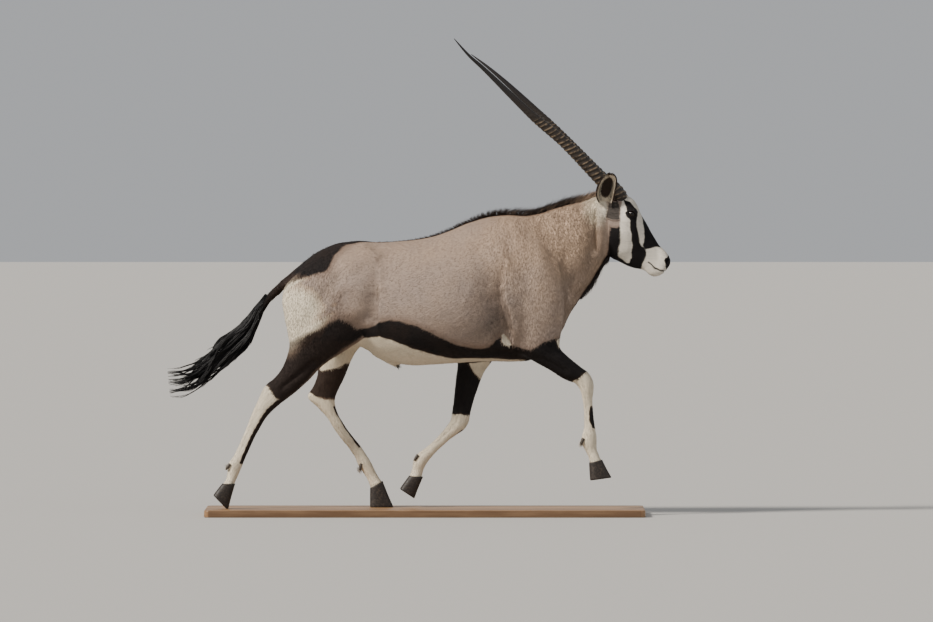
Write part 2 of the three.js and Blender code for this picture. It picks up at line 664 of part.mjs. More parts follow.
function dewclaw(spot, which) {
  const claw = new THREE.CylinderGeometry(DEWCLAW.tip, DEWCLAW.root, 1, DEWCLAW.sides);
  claw.scale(DEWCLAW.width, DEWCLAW.length, DEWCLAW.thick);
  const way = new THREE.Vector3(spot.way[0], 0, spot.way[1]).normalize();
  claw.applyQuaternion(new THREE.Quaternion().setFromUnitVectors(new THREE.Vector3(0, 1, 0), way));
  claw.translate(spot.root[0], spot.side + which * DEWCLAW.side, spot.root[1]);
  return toSolid(claw);
}

// Lids, sockets, nostrils and the line of the mouth on the bare head
function carveHead(head) {
  let carved = head;
  for (const side of [RIGHT, LEFT]) {
    const lids = new THREE.TorusGeometry(LID.radius, LID.thick, ...LID.facets);
    lids.scale(1, LID.open, 1);
    lids.rotateX(Math.PI / 2);
    lids.rotateY(LID.tilt);
    lids.translate(EYE.x, side * (EYE.side + LID.out), EYE.z);
    const socket = new THREE.SphereGeometry(EYE.radius + GAP, ...EYE.facets);
    socket.translate(EYE.x, side * EYE.side, EYE.z);
    const nostril = new THREE.SphereGeometry(1, 8, 6);
    nostril.scale(NOSTRIL.long, NOSTRIL.deep, NOSTRIL.high);
    nostril.rotateY(NOSTRIL.tilt);
    nostril.rotateZ(side * NOSTRIL.turn);
    nostril.translate(NOSTRIL.x, side * NOSTRIL.side, NOSTRIL.z);
    carved = carved.add(toSolid(lids)).subtract(toSolid(socket)).subtract(toSolid(nostril));
  }
  const core = form(HEAD, HEAD_SIDES, { grow: -MOUTH.depth });
  const slit = prism(MOUTH.line, [-70, 70]);
  return largest(carved.subtract(slit.subtract(core)));
}

// The base plate with rounded corners and eased edges
function basePlate() {
  const { length, width, thick, bevel, corner } = BASE;
  const x = length / 2 - bevel;
  const y = width / 2 - bevel;
  const outline = new THREE.Shape();
  outline.moveTo(-x + corner, -y);
  outline.lineTo(x - corner, -y);
  outline.absarc(x - corner, -y + corner, corner, -Math.PI / 2, 0);
  outline.absarc(x - corner, y - corner, corner, 0, Math.PI / 2);
  outline.absarc(-x + corner, y - corner, corner, Math.PI / 2, Math.PI);
  outline.absarc(-x + corner, -y + corner, corner, Math.PI, 1.5 * Math.PI);
  const options = { depth: thick - 2 * bevel, bevelThickness: bevel, bevelSize: bevel, bevelSegments: 1 };
  const plate = new THREE.ExtrudeGeometry(outline, { ...options, curveSegments: 4 });
  plate.translate(0, 0, bevel);
  return toSolid(plate);
}

const group = new THREE.Group();

function addNode(name, solid, material) {
  const mesh = new THREE.Mesh(toGeometry(solid), material);
  mesh.name = name;
  group.add(mesh);
}

// The whole bull in one body of flesh, then parted with thin cuts
const legs = {
  fore_right: FORE_RIGHT,
  fore_left: FORE_LEFT,
  hind_right: HIND_RIGHT,
  hind_left: HIND_LEFT,
};
const dockStub = form(DOCK.slice(0, DOCK_CUT + 1), LEG_SIDES);
const bareHead = form(HEAD, HEAD_SIDES);
const flesh = joinAll([
  form(TORSO, BODY_SIDES),
  form(SHEATH, LEG_SIDES),
  dockStub,
  form(NECK, NECK_SIDES),
  ...Object.values(legs).map((stations) => form(stations, LEG_SIDES)),
]);
const body = joinAll([flesh, ...maneLocks(), ...beardLocks()]);
const carvedHead = carveHead(joinAll([body, bareHead]));

const pieces = {};
let remaining = carvedHead;
for (const [name, { outline, range }] of Object.entries(CUTS)) {
  [pieces[name], remaining] = part(remaining, outline, range);
}
addNode('head', pieces.head, DARK);
addNode('neck', pieces.neck, FAWN);
addNode('chest', pieces.chest, FAWN);
addNode('rump', pieces.rump, FAWN);
addNode('barrel', remaining, FAWN);

for (const name of Object.keys(legs)) {
  const [lower, upper] = part(pieces[name], JOINTS[name], [-300, 300]);
  addNode(`leg_${name}_upper`, upper, DARK);
  addNode(`leg_${name}_lower`, lower, WHITE);
  const limb = form(legs[name], LEG_SIDES, { grow: GAP });
  for (const which of [RIGHT, LEFT]) {
    const place = which === RIGHT ? 'right' : 'left';
    addNode(`hoof_${name}_${place}`, toe(FEET[name], which), HOOF_BLACK);
    addNode(`dewclaw_${name}_${place}`, largest(dewclaw(DEWCLAWS[name], which).subtract(limb)), HOOF_BLACK);
  }
}

// Horns, ears and eyes stand on the bare head
const headRoom = form(HEAD, HEAD_SIDES, { grow: GAP }).add(form(NECK, NECK_SIDES, { grow: GAP }));
const HORN_LINES = {
  right: [[814, 1302], [724, 1374], [573, 1526], [436, 1641], [254, 1817], [180, 1884], [119, 1953]],
  left: [[818, 1305], [722, 1386], [584, 1530], [482, 1633], [356, 1753], [265, 1833], [189, 1892]],
};
for (const [name, side] of [['right', RIGHT], ['left', LEFT]]) {
  const shaft = largest(horn(HORN_LINES[name], side).subtract(headRoom));
  addNode(`horn_${name}`, shaft, HORN_BLACK);
  addNode(`ear_${name}`, largest(ear(side).subtract(headRoom)), DARK);
  const ball = new THREE.SphereGeometry(EYE.radius, ...EYE.facets);
  ball.translate(EYE.x, side * EYE.side, EYE.z);
  addNode(`eye_${name}`, toSolid(ball), EYE_BROWN);
}

// Tail: the free dock, then the tuft on its core
const dockFree = form(DOCK.slice(DOCK_CUT), LEG_SIDES);
const tuft = largest(joinAll([tuftCore(), ...tuftLocks()]));
addNode('tail_dock', largest(dockFree.subtract(tuft)), DARK);
addNode('tail_tuft', tuft, DARK);

addNode('stand_base', basePlate(), OAK);

export default group;
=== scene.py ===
"""A gemsbok bull at the trot, life size, dressed over its solids.

One skin covers the flesh. A short coat lies on it in tufts that follow the lie of the hair, and
mane, throat and tail carry long hair. Horns, hooves, eyes and the oak base are pieces of their own.
The scene is in metres, +X to the nose and +Z up. Stations and outlines are in millimetres.
"""

import logging
import math
from collections.abc import Callable
from dataclasses import dataclass
from enum import Enum

import bmesh
import bpy
import numpy as np
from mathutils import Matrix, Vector


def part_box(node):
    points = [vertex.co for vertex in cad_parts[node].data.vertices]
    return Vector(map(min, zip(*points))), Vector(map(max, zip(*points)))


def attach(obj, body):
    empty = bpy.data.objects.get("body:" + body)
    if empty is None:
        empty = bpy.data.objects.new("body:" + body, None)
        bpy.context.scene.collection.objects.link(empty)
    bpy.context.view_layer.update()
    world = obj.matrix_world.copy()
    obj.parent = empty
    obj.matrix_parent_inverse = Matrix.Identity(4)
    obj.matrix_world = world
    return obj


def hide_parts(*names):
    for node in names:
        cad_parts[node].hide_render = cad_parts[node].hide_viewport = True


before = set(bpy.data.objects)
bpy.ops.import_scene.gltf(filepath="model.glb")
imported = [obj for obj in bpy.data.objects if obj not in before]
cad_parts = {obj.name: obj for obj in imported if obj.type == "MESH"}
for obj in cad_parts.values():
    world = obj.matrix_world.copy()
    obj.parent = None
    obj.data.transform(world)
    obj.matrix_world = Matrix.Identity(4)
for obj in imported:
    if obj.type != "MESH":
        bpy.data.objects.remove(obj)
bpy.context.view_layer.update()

LOG = logging.getLogger("gemsbok")
MM = 0.001
TURN = 2 * math.pi
COAT_DEPTH = 4.0
STATION_ENDING = (0.0, 0.0, 2.0)
BODY = "root"
FAR = 1e9
DEEPEST = 40.0

Array = np.ndarray
Row = tuple[float, ...]
Rows = tuple[Row, ...]
Colour = tuple[float, float, float, float]
Shell = tuple[np.ndarray, list]
Mesh = bpy.types.Mesh
Object = bpy.types.Object
Material = bpy.types.Material
Tree = bpy.types.NodeTree
Socket = bpy.types.NodeSocket


class Side(Enum):
    """The bull's two sides and the sign of y there."""

    RIGHT = -1
    LEFT = 1


class Slot(Enum):
    """Names of the material slots."""

    BODY = "body_coat"
    FACE = "face_coat"
    LEG = "leg_coat"
    TAIL = "tail_hair"
    HORN = "horn"
    HOOF = "hoof"
    EYE = "eye"
    WOOD = "base_wood"


class Ink(Enum):
    """What a marking paints."""

    DARK = "dark"
    WHITE = "white"


RIGHT, LEFT = Side
DARK, WHITE = Ink


def refine(values: Array, steps: int) -> Array:
    """Runs a smooth cubic through rows of values.

    Args:
        values: One row for each station.
        steps: How many rows replace each stretch between two stations.

    Returns:
        The refined rows, ending with the last station.
    """
    last = len(values) - 1
    start, end = values[:-1, None], values[1:, None]
    before = values[np.maximum(np.arange(last) - 1, 0), None]
    after = values[np.minimum(np.arange(last) + 2, last), None]
    share = (np.arange(steps) / steps)[None, :, None]
    slope_in = (end - before) / 2
    slope_out = (after - start) / 2
    cube = 2 * start - 2 * end + slope_in + slope_out
    square = 3 * end - 3 * start - 2 * slope_in - slope_out
    fine = (cube * share + square) * share**2 + slope_in * share + start
    return np.vstack([fine.reshape(-1, values.shape[1]), values[-1:]])


def along_row(row: Rows, share: Array) -> Array:
    """Gives the values of a row of stations at shares of its length.

    Args:
        row: The stations.
        share: Places from 0 to 1.

    Returns:
        One row of values for each place.
    """
    fine = refine(np.array(row, float), 16)
    place = np.clip(share, 0, 1) * (len(fine) - 1)
    low = np.minimum(place.astype(int), len(fine) - 2)
    part = (place - low)[..., None]
    return fine[low] * (1 - part) + fine[low + 1] * part


def ease(value: Array, low: float, high: float) -> Array:
    """Rises smoothly from 0 at low to 1 at high."""
    share = np.clip((value - low) / (high - low), 0, 1)
    return share * share * (3 - 2 * share)


def fade(value: Array, low: float, high: float) -> Array:
    """Falls smoothly from 1 at low to 0 at high."""
    return 1 - ease(value, low, high)


def bell(value: Array, width: float) -> Array:
    """Gives 1 at 0 and next to nothing at twice the width."""
    return np.exp(-((value / width) ** 2))


def unit(vectors: Array) -> Array:
    """Scales vectors to length 1."""
    return vectors / np.maximum(np.linalg.norm(vectors, axis=-1, keepdims=True), 1e-9)


def flat(points: Array) -> Array:
    """Gives points as they are seen from the side, in millimetres."""
    return points[:, [0, 2]] / MM


def ripple(points: Array, wave: float, seed: int) -> Array:
    """A smooth seeded unevenness over space.

    Args:
        points: Places in metres.
        wave: The length of its waves in metres.
        seed: Which unevenness.

    Returns:
        A value of about -1 to 1 for each point.
    """
    draw = np.random.default_rng(seed)
    total = np.zeros(len(points))
    for _ in range(7):
        way = unit(draw.normal(size=3)) * TURN / (wave * draw.uniform(0.6, 1.6))
        total += np.sin(points @ way + draw.uniform(0, TURN))
    return total / 3.2


def outline_depth(places: Array, outline: Rows) -> Array:
    """Measures how deep places lie inside a closed outline.

    Args:
        places: [x, z] places in millimetres.
        outline: The corners of the outline.

    Returns:
        Millimetres, above 0 inside and below 0 outside.
    """
    nearest = np.full(len(places), FAR)
    inside = np.zeros(len(places), bool)
    corners = np.array(outline, float)
    for start, end in zip(corners, np.roll(corners, -1, 0)):
        edge = end - start
        share = np.clip((places - start) @ edge / (edge @ edge), 0, 1)
        nearest = np.minimum(nearest, np.linalg.norm(places - start - share[:, None] * edge, axis=1))
        spans = (start[1] > places[:, 1]) != (end[1] > places[:, 1])
        rise = edge[1] if abs(edge[1]) > 1e-9 else 1e-9
        inside ^= spans & (places[:, 0] < edge[0] * (places[:, 1] - start[1]) / rise + start[0])
    return np.where(inside, nearest, -nearest)


def line_place(places: Array, line: Rows) -> tuple[Array, Array]:
    """Finds where places lie beside an open line.

    Args:
        places: [x, z] places in millimetres.
        line: The points of the line.

    Returns:
        Millimetres from the line, above 0 on its left and below 0 on its right, and the share of
        its length at the nearest point.
    """
    nearest = np.full(len(places), FAR)
    signed, share = np.zeros(len(places)), np.zeros(len(places))
    points = np.array(line, float)
    lengths = np.linalg.norm(np.diff(points, axis=0), axis=1)
    passed = 0.0
    for start, end, length in zip(points[:-1], points[1:], lengths):
        edge = end - start
        away = places - start
        run = np.clip(away @ edge / length**2, 0, 1)
        distance = np.linalg.norm(away - run[:, None] * edge, axis=1)
        closer = distance < nearest
        left = np.where(edge[0] * away[:, 1] - edge[1] * away[:, 0] > 0, 1, -1)
        nearest[closer] = distance[closer]
        signed[closer] = (distance * left)[closer]
        share[closer] = ((passed + run * length) / lengths.sum())[closer]
        passed += length
    return signed, share


def line_distance(places: Array, line: Rows) -> Array:
    """Gives the distance of places from an open line, in millimetres."""
    return np.abs(line_place(places, line)[0])


def make_mesh(name: str, points: Array, faces: list, material: Material | None = None) -> Object:
    """Makes a smooth mesh object whose faces all point outwards.

    Args:
        name: The object's name.
        points: Its vertices in metres.
        faces: Its faces as lists of vertex numbers.
        material: Its material, if it has one.

    Returns:
        The new object, in the scene.
    """
    mesh = bpy.data.meshes.new(name)
    mesh.from_pydata(points.tolist(), [], [list(map(int, face)) for face in faces])
    shape = bmesh.new()
    shape.from_mesh(mesh)
    bmesh.ops.recalc_face_normals(shape, faces=shape.faces)
    shape.to_mesh(mesh)
    shape.free()
    if material:
        mesh.materials.append(material)
    return place_mesh(name, shade_smooth(mesh))


def shade_smooth(mesh: Mesh) -> Mesh:
    """Shades all faces of a mesh smooth, and gives it back."""
    mesh.polygons.foreach_set("use_smooth", np.ones(len(mesh.polygons), bool))
    return mesh


def place_mesh(name: str, mesh: Mesh) -> Object:
    """Puts a mesh in the scene as an object at the origin.

    Args:
        name: The name it gets.
        mesh: The object's mesh.

    Returns:
        The object.
    """
    mesh.name = name
    made = bpy.data.objects.new(name, mesh)
    bpy.context.scene.collection.objects.link(made)
    return made


def evaluated(source: Object) -> Mesh:
    """Gives the mesh that an object's modifiers make."""
    bpy.context.view_layer.update()
    return bpy.data.meshes.new_from_object(source.evaluated_get(bpy.context.evaluated_depsgraph_get()))


def modified(source: Object, kind: str, **settings) -> Mesh:
    """Gives the mesh that one modifier makes of an object, and leaves the object as it was.

    Args:
        source: The object.
        kind: The modifier's type.
        **settings: Its properties.

    Returns:
        The new mesh.
    """
    modifier = source.modifiers.new(kind, kind)
    for key, value in settings.items():
        setattr(modifier, key, value)
    mesh = evaluated(source)
    source.modifiers.remove(modifier)
    return mesh


def ring_faces(rows: int, sides: int) -> list[tuple[int, ...]]:
    """Lists the faces of a closed tube of rings, with a cap at either end.

    Args:
        rows: How many rings.
        sides: How many points each ring has.

    Returns:
        The faces as vertex numbers.
    """
    faces = []
    for row in range(rows - 1):
        for i in range(sides):
            a, b = row * sides + i, row * sides + (i + 1) % sides
            faces.append((a, b, b + sides, a + sides))
    return faces + [tuple(range(sides)), tuple(range((rows - 1) * sides, rows * sides))]


def read(items: bpy.types.bpy_prop_collection, key: str, width: int = 1, kind: type = np.int32) -> Array:
    """Reads one property of all vertices, edges, loops or faces.

    Args:
        items: The mesh's vertices, edges, loops or faces.
        key: The property.
        width: How many numbers it has.
        kind: The type of its numbers.

    Returns:
        One row of numbers for each item.
    """
    values = np.zeros(len(items) * width, kind)
    items.foreach_get(key, values)
    return values.reshape(-1, width)


def vertex_array(mesh: Mesh, what: str = "co") -> Array:
    """Reads the places or normals of a mesh's vertices."""
    return read(mesh.vertices, what, 3, np.float32).astype(float)


def edge_array(mesh: Mesh) -> Array:
    """Reads the two vertices of each edge."""
    return read(mesh.edges, "vertices", 2)


def set_points(mesh: Mesh, points: Array) -> None:
    """Moves the vertices of a mesh."""
    mesh.vertices.foreach_set("co", points.astype(np.float32).ravel())
    mesh.update()


def set_attributes(mesh: Mesh, **attributes: Array) -> None:
    """Stores numbers or vectors for the vertices of a mesh.

    Args:
        mesh: The mesh.
        **attributes: One value, or one row of three, for each vertex, under the attribute's name.
    """
    for name, values in attributes.items():
        kind, key = ("FLOAT", "value") if values.ndim == 1 else ("FLOAT_VECTOR", "vector")
        made = mesh.attributes.new(name, kind, "POINT")
        made.data.foreach_set(key, values.astype(np.float32).ravel())


def relax(points: Array, edges: Array, weight: Array | float, rounds: int) -> Array:
    """Evens out values over a mesh, each towards the mean of its neighbours.

    Args:
        points: One row for each vertex.
        edges: The two vertices of each edge.
        weight: How far each vertex moves, from 0 to 1.
        rounds: How many times it is done.

    Returns:
        The evened rows.
    """
    count = np.maximum(np.bincount(edges.ravel(), minlength=len(points)), 1)
    ends = edges.T.ravel()
    others = edges[:, ::-1].T.ravel()
    share = np.broadcast_to(weight, len(points))[:, None]
    moved = points.copy()
    for _ in range(rounds):
        sums = [np.bincount(ends, moved[others, axis], len(points)) for axis in range(moved.shape[1])]
        moved += share * (np.stack(sums, 1) / count[:, None] - moved)
    return moved


def draw_out(points: Array, way: Array, edges: Array, rounds: int, seed: int) -> Array:
    """Makes a seeded noise that is drawn out along a direction on a mesh.

    Args:
        points: The mesh's vertices.
        way: The direction at each vertex.
        edges: The mesh's edges.
        rounds: How far the noise is drawn out.
        seed: Which noise.

    Returns:
        A value of about -2 to 2 for each vertex.
    """
    count = len(points)
    value = np.random.default_rng(seed).normal(size=count)
    start, end = edges.T
    slope = (unit(points[end] - points[start]) * unit(way[start] + way[end])).sum(1)
    pull = np.abs(slope) ** 10 + 0.002
    total = np.bincount(start, pull, count) + np.bincount(end, pull, count)
    for _ in range(rounds):
        mean = np.bincount(start, pull * value[end], count) + np.bincount(end, pull * value[start], count)
        value = 0.3 * value + 0.7 * mean / np.maximum(total, 1e-9)
    return value / value.std()


class Graph:
    """Adds nodes to one tree and wires them."""

    def __init__(self, tree: Tree) -> None:
        """Starts on a tree."""
        self.tree = tree

    @classmethod
    def group(cls, name: str, kind: str, inputs: dict[str, str], outputs: dict[str, str]) -> "Graph":
        """Makes a node group with named sockets.

        Args:
            name: The group's name.
            kind: Geometry or Shader.
            inputs: The kind of each input, under its name.
            outputs: The kind of each output, under its name.

        Returns:
            The graph, with what the group is given and the node that ends it.
        """
        tree = bpy.data.node_groups.new(name, f"{kind}NodeTree")
        for way, sockets in (("INPUT", inputs), ("OUTPUT", outputs)):
            for label, spec in sockets.items():
                tree.interface.new_socket(name=label, in_out=way, socket_type=f"NodeSocket{spec}")
        graph = cls(tree)
        graph.given = tree.nodes.new("NodeGroupInput").outputs
        graph.end = tree.nodes.new("NodeGroupOutput")
        return graph

    def wire(self, value: Socket | float | tuple, socket: Socket) -> None:
        """Feeds a socket from another one, or sets its value."""
        if isinstance(value, Socket):
            self.tree.links.new(value, socket)
        else:
            socket.default_value = value

    def feed(self, node: bpy.types.Node, inputs: dict) -> None:
        """Gives a node's inputs, by name, their values or the sockets that feed them."""
        for name, value in inputs.items():
            self.wire(value, next(s for s in node.inputs if s.enabled and name in (s.name, s.identifier)))

    def put(self, kind: str, inputs: dict | None = None, out: str | None = None, **settings) -> Socket:
        """Adds one node.

        Args:
            kind: The node's type.
            inputs: A value, or the socket that feeds it, for each input's name.
            out: The name of the output that is wanted, the first one if left out.
            **settings: Properties of the node.

        Returns:
            The wanted output socket.
        """
        made = self.tree.nodes.new(kind)
        for key, value in settings.items():
            setattr(made, key, value)
        self.feed(made, inputs or {})
        return next((s for s in made.outputs if s.enabled and out in (None, s.name)), None)

    def math(self, operation: str, *values: Socket | float | tuple, kind: str = "ShaderNodeMath") -> Socket:
        """Adds a math node fed by the given values, in order.

        Args:
            operation: What the node works out.
            *values: The values it works on.
            kind: The kind of node.

        Returns:
            The result.
        """
        made = self.put(kind, operation=operation)
        for socket, value in zip([s for s in made.node.inputs if s.enabled], values):
            self.wire(value, socket)
        return made

    def vector(self, operation: str, *values: Socket | float) -> Socket:
        """Adds a vector math node fed by the given values, in order."""
        return self.math(operation, *values, kind="ShaderNodeVectorMath")

    def length(self, *values: Socket) -> Socket:
        """Adds the root of the sum of two values' squares."""
        squares = [self.math("MULTIPLY", value, value) for value in values]
        return self.math("SQRT", self.math("ADD", *squares))

    def mix(self, factor: Socket | float, first: Socket | Colour, second: Socket | Colour,
            blend: str = "MIX") -> Socket:
        """Adds a colour mix from first to second."""
        inputs = {"Factor": factor, "A": first, "B": second}
        return self.put("ShaderNodeMix", inputs, "Result", data_type="RGBA", blend_type=blend)

    def band(self, value: Socket, low: float, high: float, first: float = 0.0,
            second: float = 1.0) -> Socket:
        """Adds a smooth step of a value from first at low to second at high."""
        inputs = {"Value": value, "From Min": low, "From Max": high, "To Min": first, "To Max": second}
        return self.put("ShaderNodeMapRange", inputs, interpolation_type="SMOOTHSTEP")

    def noise(self, vector: Socket, scale: float, detail: float = 2.0, rough: float = 0.5) -> Socket:
        """Adds a noise texture's grey value."""
        return self.put("ShaderNodeTexNoise", {"Vector": vector, "Scale": scale, "Detail": detail,
            "Roughness": rough})

    def stretch(self, vector: Socket, scale: Row) -> Socket:
        """Adds a mapping that scales a vector."""
        return self.put("ShaderNodeMapping", {"Vector": vector, "Scale": scale})

    def bump(self, height: Socket, strength: float, distance: float) -> Socket:
        """Adds a bump from a height."""
        return self.put("ShaderNodeBump", {"Height": height, "Strength": strength, "Distance": distance})

    def attribute(self, name: str, out: str = "Fac") -> Socket:
        """Adds a shader's reading of a mesh attribute."""
        return self.put("ShaderNodeAttribute", out=out, attribute_name=name)

    def named(self, name: str, kind: str = "FLOAT") -> Socket:
        """Adds a geometry tree's reading of a mesh attribute."""
        return self.put("GeometryNodeInputNamedAttribute", {"Name": name}, data_type=kind)

    def store(self, geometry: Socket, name: str, value: Socket, kind: str = "FLOAT",
            on: str = "POINT") -> Socket:
        """Adds the storing of a mesh attribute."""
        inputs = {"Geometry": geometry, "Name": name, "Value": value}
        return self.put("GeometryNodeStoreNamedAttribute", inputs, data_type=kind, domain=on)

    def random(self, low: float | Row, high: float | Row, seed: int, kind: str = "FLOAT") -> Socket:
        """Adds a seeded random value for each point."""
        return self.put("FunctionNodeRandomValue", {"Min": low, "Max": high, "Seed": seed}, data_type=kind)

    def sweep(self, line: Socket, sides: Socket | int, girth: str) -> Socket:
        """Adds a round body along a line, as thick as the line's attribute says."""
        ring = self.put("GeometryNodeCurvePrimitiveCircle", {"Resolution": sides, "Radius": 1.0})
        return self.put("GeometryNodeCurveToMesh", {"Curve": line, "Profile Curve": ring,
            "Scale": self.named(girth), "Fill Caps": True})

    def finish(self, geometry: Socket) -> Tree:
        """Ends a geometry tree in real meshes with its material.

        Args:
            geometry: What the tree has made.

        Returns:
            The tree.
        """
        real = self.put("GeometryNodeRealizeInstances", {"Geometry": geometry})
        dressed = self.put("GeometryNodeSetMaterial", {"Geometry": real, "Material": self.given["Material"]})
        self.wire(dressed, self.end.inputs[0])
        return self.tree


def run_tree(host: Object, tree: Tree, values: dict, name: str) -> Object:
    """Runs a geometry tree on an object and keeps the result as a plain mesh.

    Args:
        host: The object that the tree reads, left as it was.
        tree: The geometry tree.
        values: A value for each named input of the tree.
        name: The name of the new object.

    Returns:
        The new object.
    """
    modifier = host.modifiers.new("tree", "NODES")
    modifier.node_group = tree
    for item in tree.interface.items_tree:
        if item.in_out == "INPUT" and item.name in values:
            modifier[item.identifier] = values[item.name]
    mesh = evaluated(host)
    host.modifiers.remove(modifier)
    return place_mesh(name, mesh)


def settle(piece: Object, slot: Slot, *nodes: str) -> None:
    """Fixes a finished piece to the body and logs it.

    Args:
        piece: The finished object.
        slot: Not used.
        *nodes: The solids that it stands for.
    """
    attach(piece, BODY)
    if nodes:
        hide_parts(*nodes)
    LOG.info("%s: %d triangles", piece.name, sum(len(face.vertices) - 2 for face in piece.data.polygons))


@dataclass(frozen=True)
class Form:
    """A tapering mass of flesh, given by ovals across its length.

    Each station holds the upper (or front) x and z, the lower (or rear) x and z and the full
    width, and then, where they aren't 0, 0 and 2, the side offset, egg shape and squareness.
    """

    name: str
    stations: Rows
    lie: float = 1.0

    def rows(self, steps: int) -> Array:
        """Gives the stations in full, refined."""
        full = [tuple(s) + STATION_ENDING[len(s) - 5:] for s in self.stations]
        return refine(np.array(full, float), steps)

    def shell(self, steps: int, sides: int, grow: float = 0.0) -> Shell:
        """Gives the form's surface as a closed mesh of rings.

        Args:
            steps: How finely the stations are refined.
            sides: Points in each ring.
            grow: How far the surface is moved outwards, in millimetres.

        Returns:
            Its points in metres and its faces.
        """
        rows = self.rows(steps)
        upper, lower = rows[:, None, 0:2], rows[:, None, 2:4]
        width, side, egg, square = (rows[:, i, None] for i in range(4, 8))
        length = np.linalg.norm(upper - lower, axis=2)
        angle = np.linspace(0, TURN, sides, endpoint=False)[None]
        up, out = (np.sign(wave) * np.abs(wave) ** (2 / square) for wave in (np.cos(angle), np.sin(angle)))
        stretch = (length / 2 + grow) / length
        middle = (upper + lower) / 2 + (upper - lower) * (stretch * up)[..., None]
        across = side + (width / 2 + grow) * out * (1 - egg * up)
        rings = np.stack([middle[..., 0], across, middle[..., 1]], -1) * MM
        return rings.reshape(-1, 3), ring_faces(len(rings), sides)

    def locate(self, points: Array) -> dict[str, Array]:
        """Finds where points lie on the form.

        Args:
            points: Places in metres.

        Returns:
            For each point how far out it lies (1 is the surface), its share of the length, its
            millimetres along the form, its place in the oval there and the form's direction.
        """
        rows = self.rows(4)
        centre = np.stack([(rows[:, 0] + rows[:, 2]) / 2, rows[:, 5], (rows[:, 1] + rows[:, 3]) / 2], 1) * MM
        half = np.stack([rows[:, 0] - rows[:, 2], 0 * rows[:, 0], rows[:, 1] - rows[:, 3]], 1) * MM / 2
        high = np.linalg.norm(half, axis=1)
        wide = rows[:, 4] * MM / 2
        way = np.cross(half, (0, 1, 0)) / high[:, None]
        step = np.linalg.norm(np.diff(centre, axis=0), axis=1)
        distance = np.concatenate([[0], np.cumsum(step)])
        if ((centre[-1] - centre[0]) * way[len(way) // 2]).sum() < 0:
            way = -way
        best = np.full(len(points), FAR)
        found = np.zeros(len(points), int)
        for i in range(len(rows)):
            away = points - centre[i]
            up = away @ half[i] / high[i] ** 2
            out = away[:, 1] / wide[i]
            ahead = away @ way[i] / (0.18 * (high[i] + wide[i]))
            reach = up**2 + out**2 + ahead**2
            closer = reach < best
            best[closer] = reach[closer]
            found[closer] = i
        away = points - centre[found]
        along = distance[found] + (away * way[found]).sum(1)
        rise = (away * half[found]).sum(1)
        return {"reach": np.sqrt(best), "share": np.clip(along / distance[-1], 0, 1), "along": along,
            "up": rise / high[found] ** 2, "out": away[:, 1] / wide[found], "deep": rise / high[found],
            "away": away[:, 1], "way": way[found] * self.lie}


TORSO = Form("torso", (
    (-556, 975, -556, 868, 120), (-540, 1006, -548, 815, 210, 0, 0.1), (-500, 1040, -515, 770, 300, 0, 0.12),
    (-440, 1083, -450, 735, 368, 0, 0.1), (-360, 1118, -360, 705, 410, 0, 0.06),
    (-270, 1129, -262, 686, 438, 0, 0.04), (-190, 1124, -180, 640, 466, 0, 0.08),
    (-95, 1129, -80, 613, 496, 0, 0.12), (0, 1141, 20, 613, 510, 0, 0.16), (90, 1167, 110, 620, 508, 0, 0.2),
    (175, 1203, 200, 626, 490, 0, 0.26), (260, 1228, 285, 628, 462, 0, 0.3),
    (345, 1238, 365, 627, 424, 0, 0.3), (420, 1232, 436, 634, 380, 0, 0.26),
    (478, 1200, 492, 668, 326, 0, 0.16), (520, 1120, 540, 726, 262, 0, 0.06), (550, 1000, 562, 800, 150),
), lie=-1)

SHEATH = Form("sheath", (
    (-240, 720, -214, 652, 84), (-180, 690, -166, 624, 68), (-132, 655, -126, 603, 44),
    (-110, 630, -108, 601, 20),
))

NECK = Form("neck", (
    (350, 1215, 440, 690, 300, 0, 0.2), (425, 1236, 548, 735, 290, 0, 0.24),
    (485, 1250, 583, 798, 262, 0, 0.22), (545, 1268, 612, 852, 234, 0, 0.16),
    (600, 1281, 646, 900, 212, 0, 0.08), (650, 1293, 680, 948, 194), (695, 1309, 712, 1000, 176),
    (732, 1318, 742, 1050, 150), (762, 1290, 764, 1100, 110),
), lie=-1)

HEAD = Form("head", (
    (728, 1300, 738, 1080, 120), (772, 1321, 760, 1054, 152, 0, -0.04), (816, 1319, 786, 1041, 166, 0, -0.1),
    (850, 1303, 812, 1029, 170, 0, -0.2), (870, 1277, 838, 1017, 156, 0, -0.2),
    (883, 1245, 862, 1009, 132, 0, -0.12), (902, 1212, 884, 1005, 110, 0, -0.06),
    (922, 1176, 902, 999, 96, 0, 0, 2.2), (942, 1141, 919, 984, 86, 0, 0, 2.4),
    (962, 1109, 936, 976, 82, 0, 0, 2.6), (980, 1092, 950, 977, 84, 0, 0, 2.6),
    (998, 1072, 964, 982, 82, 0, 0, 2.5), (1008, 1048, 977, 993, 66, 0, 0, 2.3), (1005, 1026, 988, 1006, 36),
), lie=-1)

FORE_RIGHT = Form("fore_right", (
    (452, 1150, 396, 1160, 70, -70), (520, 1040, 352, 1075, 130, -112), (560, 935, 328, 955, 150, -128),
    (574, 850, 330, 872, 150, -132), (566, 775, 345, 785, 146, -126), (556, 722, 366, 700, 132, -118),
    (556, 692, 420, 645, 116, -114), (574, 669, 492, 605, 104, -112), (604, 642, 545, 571, 92, -110),
    (640, 612, 584, 551, 78, -107), (672, 588, 607, 544, 68, -104), (691, 552, 624, 528, 68, -102),
    (694, 520, 634, 508, 66, -100), (690, 487, 640, 484, 50, -99), (691, 448, 645, 448, 40, -98),
    (695, 405, 648, 405, 38, -96), (700, 362, 647, 362, 42, -95), (706, 330, 638, 328, 54, -94),
    (706, 302, 638, 298, 56, -94), (708, 272, 654, 264, 48, -94), (716, 250, 666, 240, 54, -94),
    (728, 226, 672, 214, 66, -94),
))

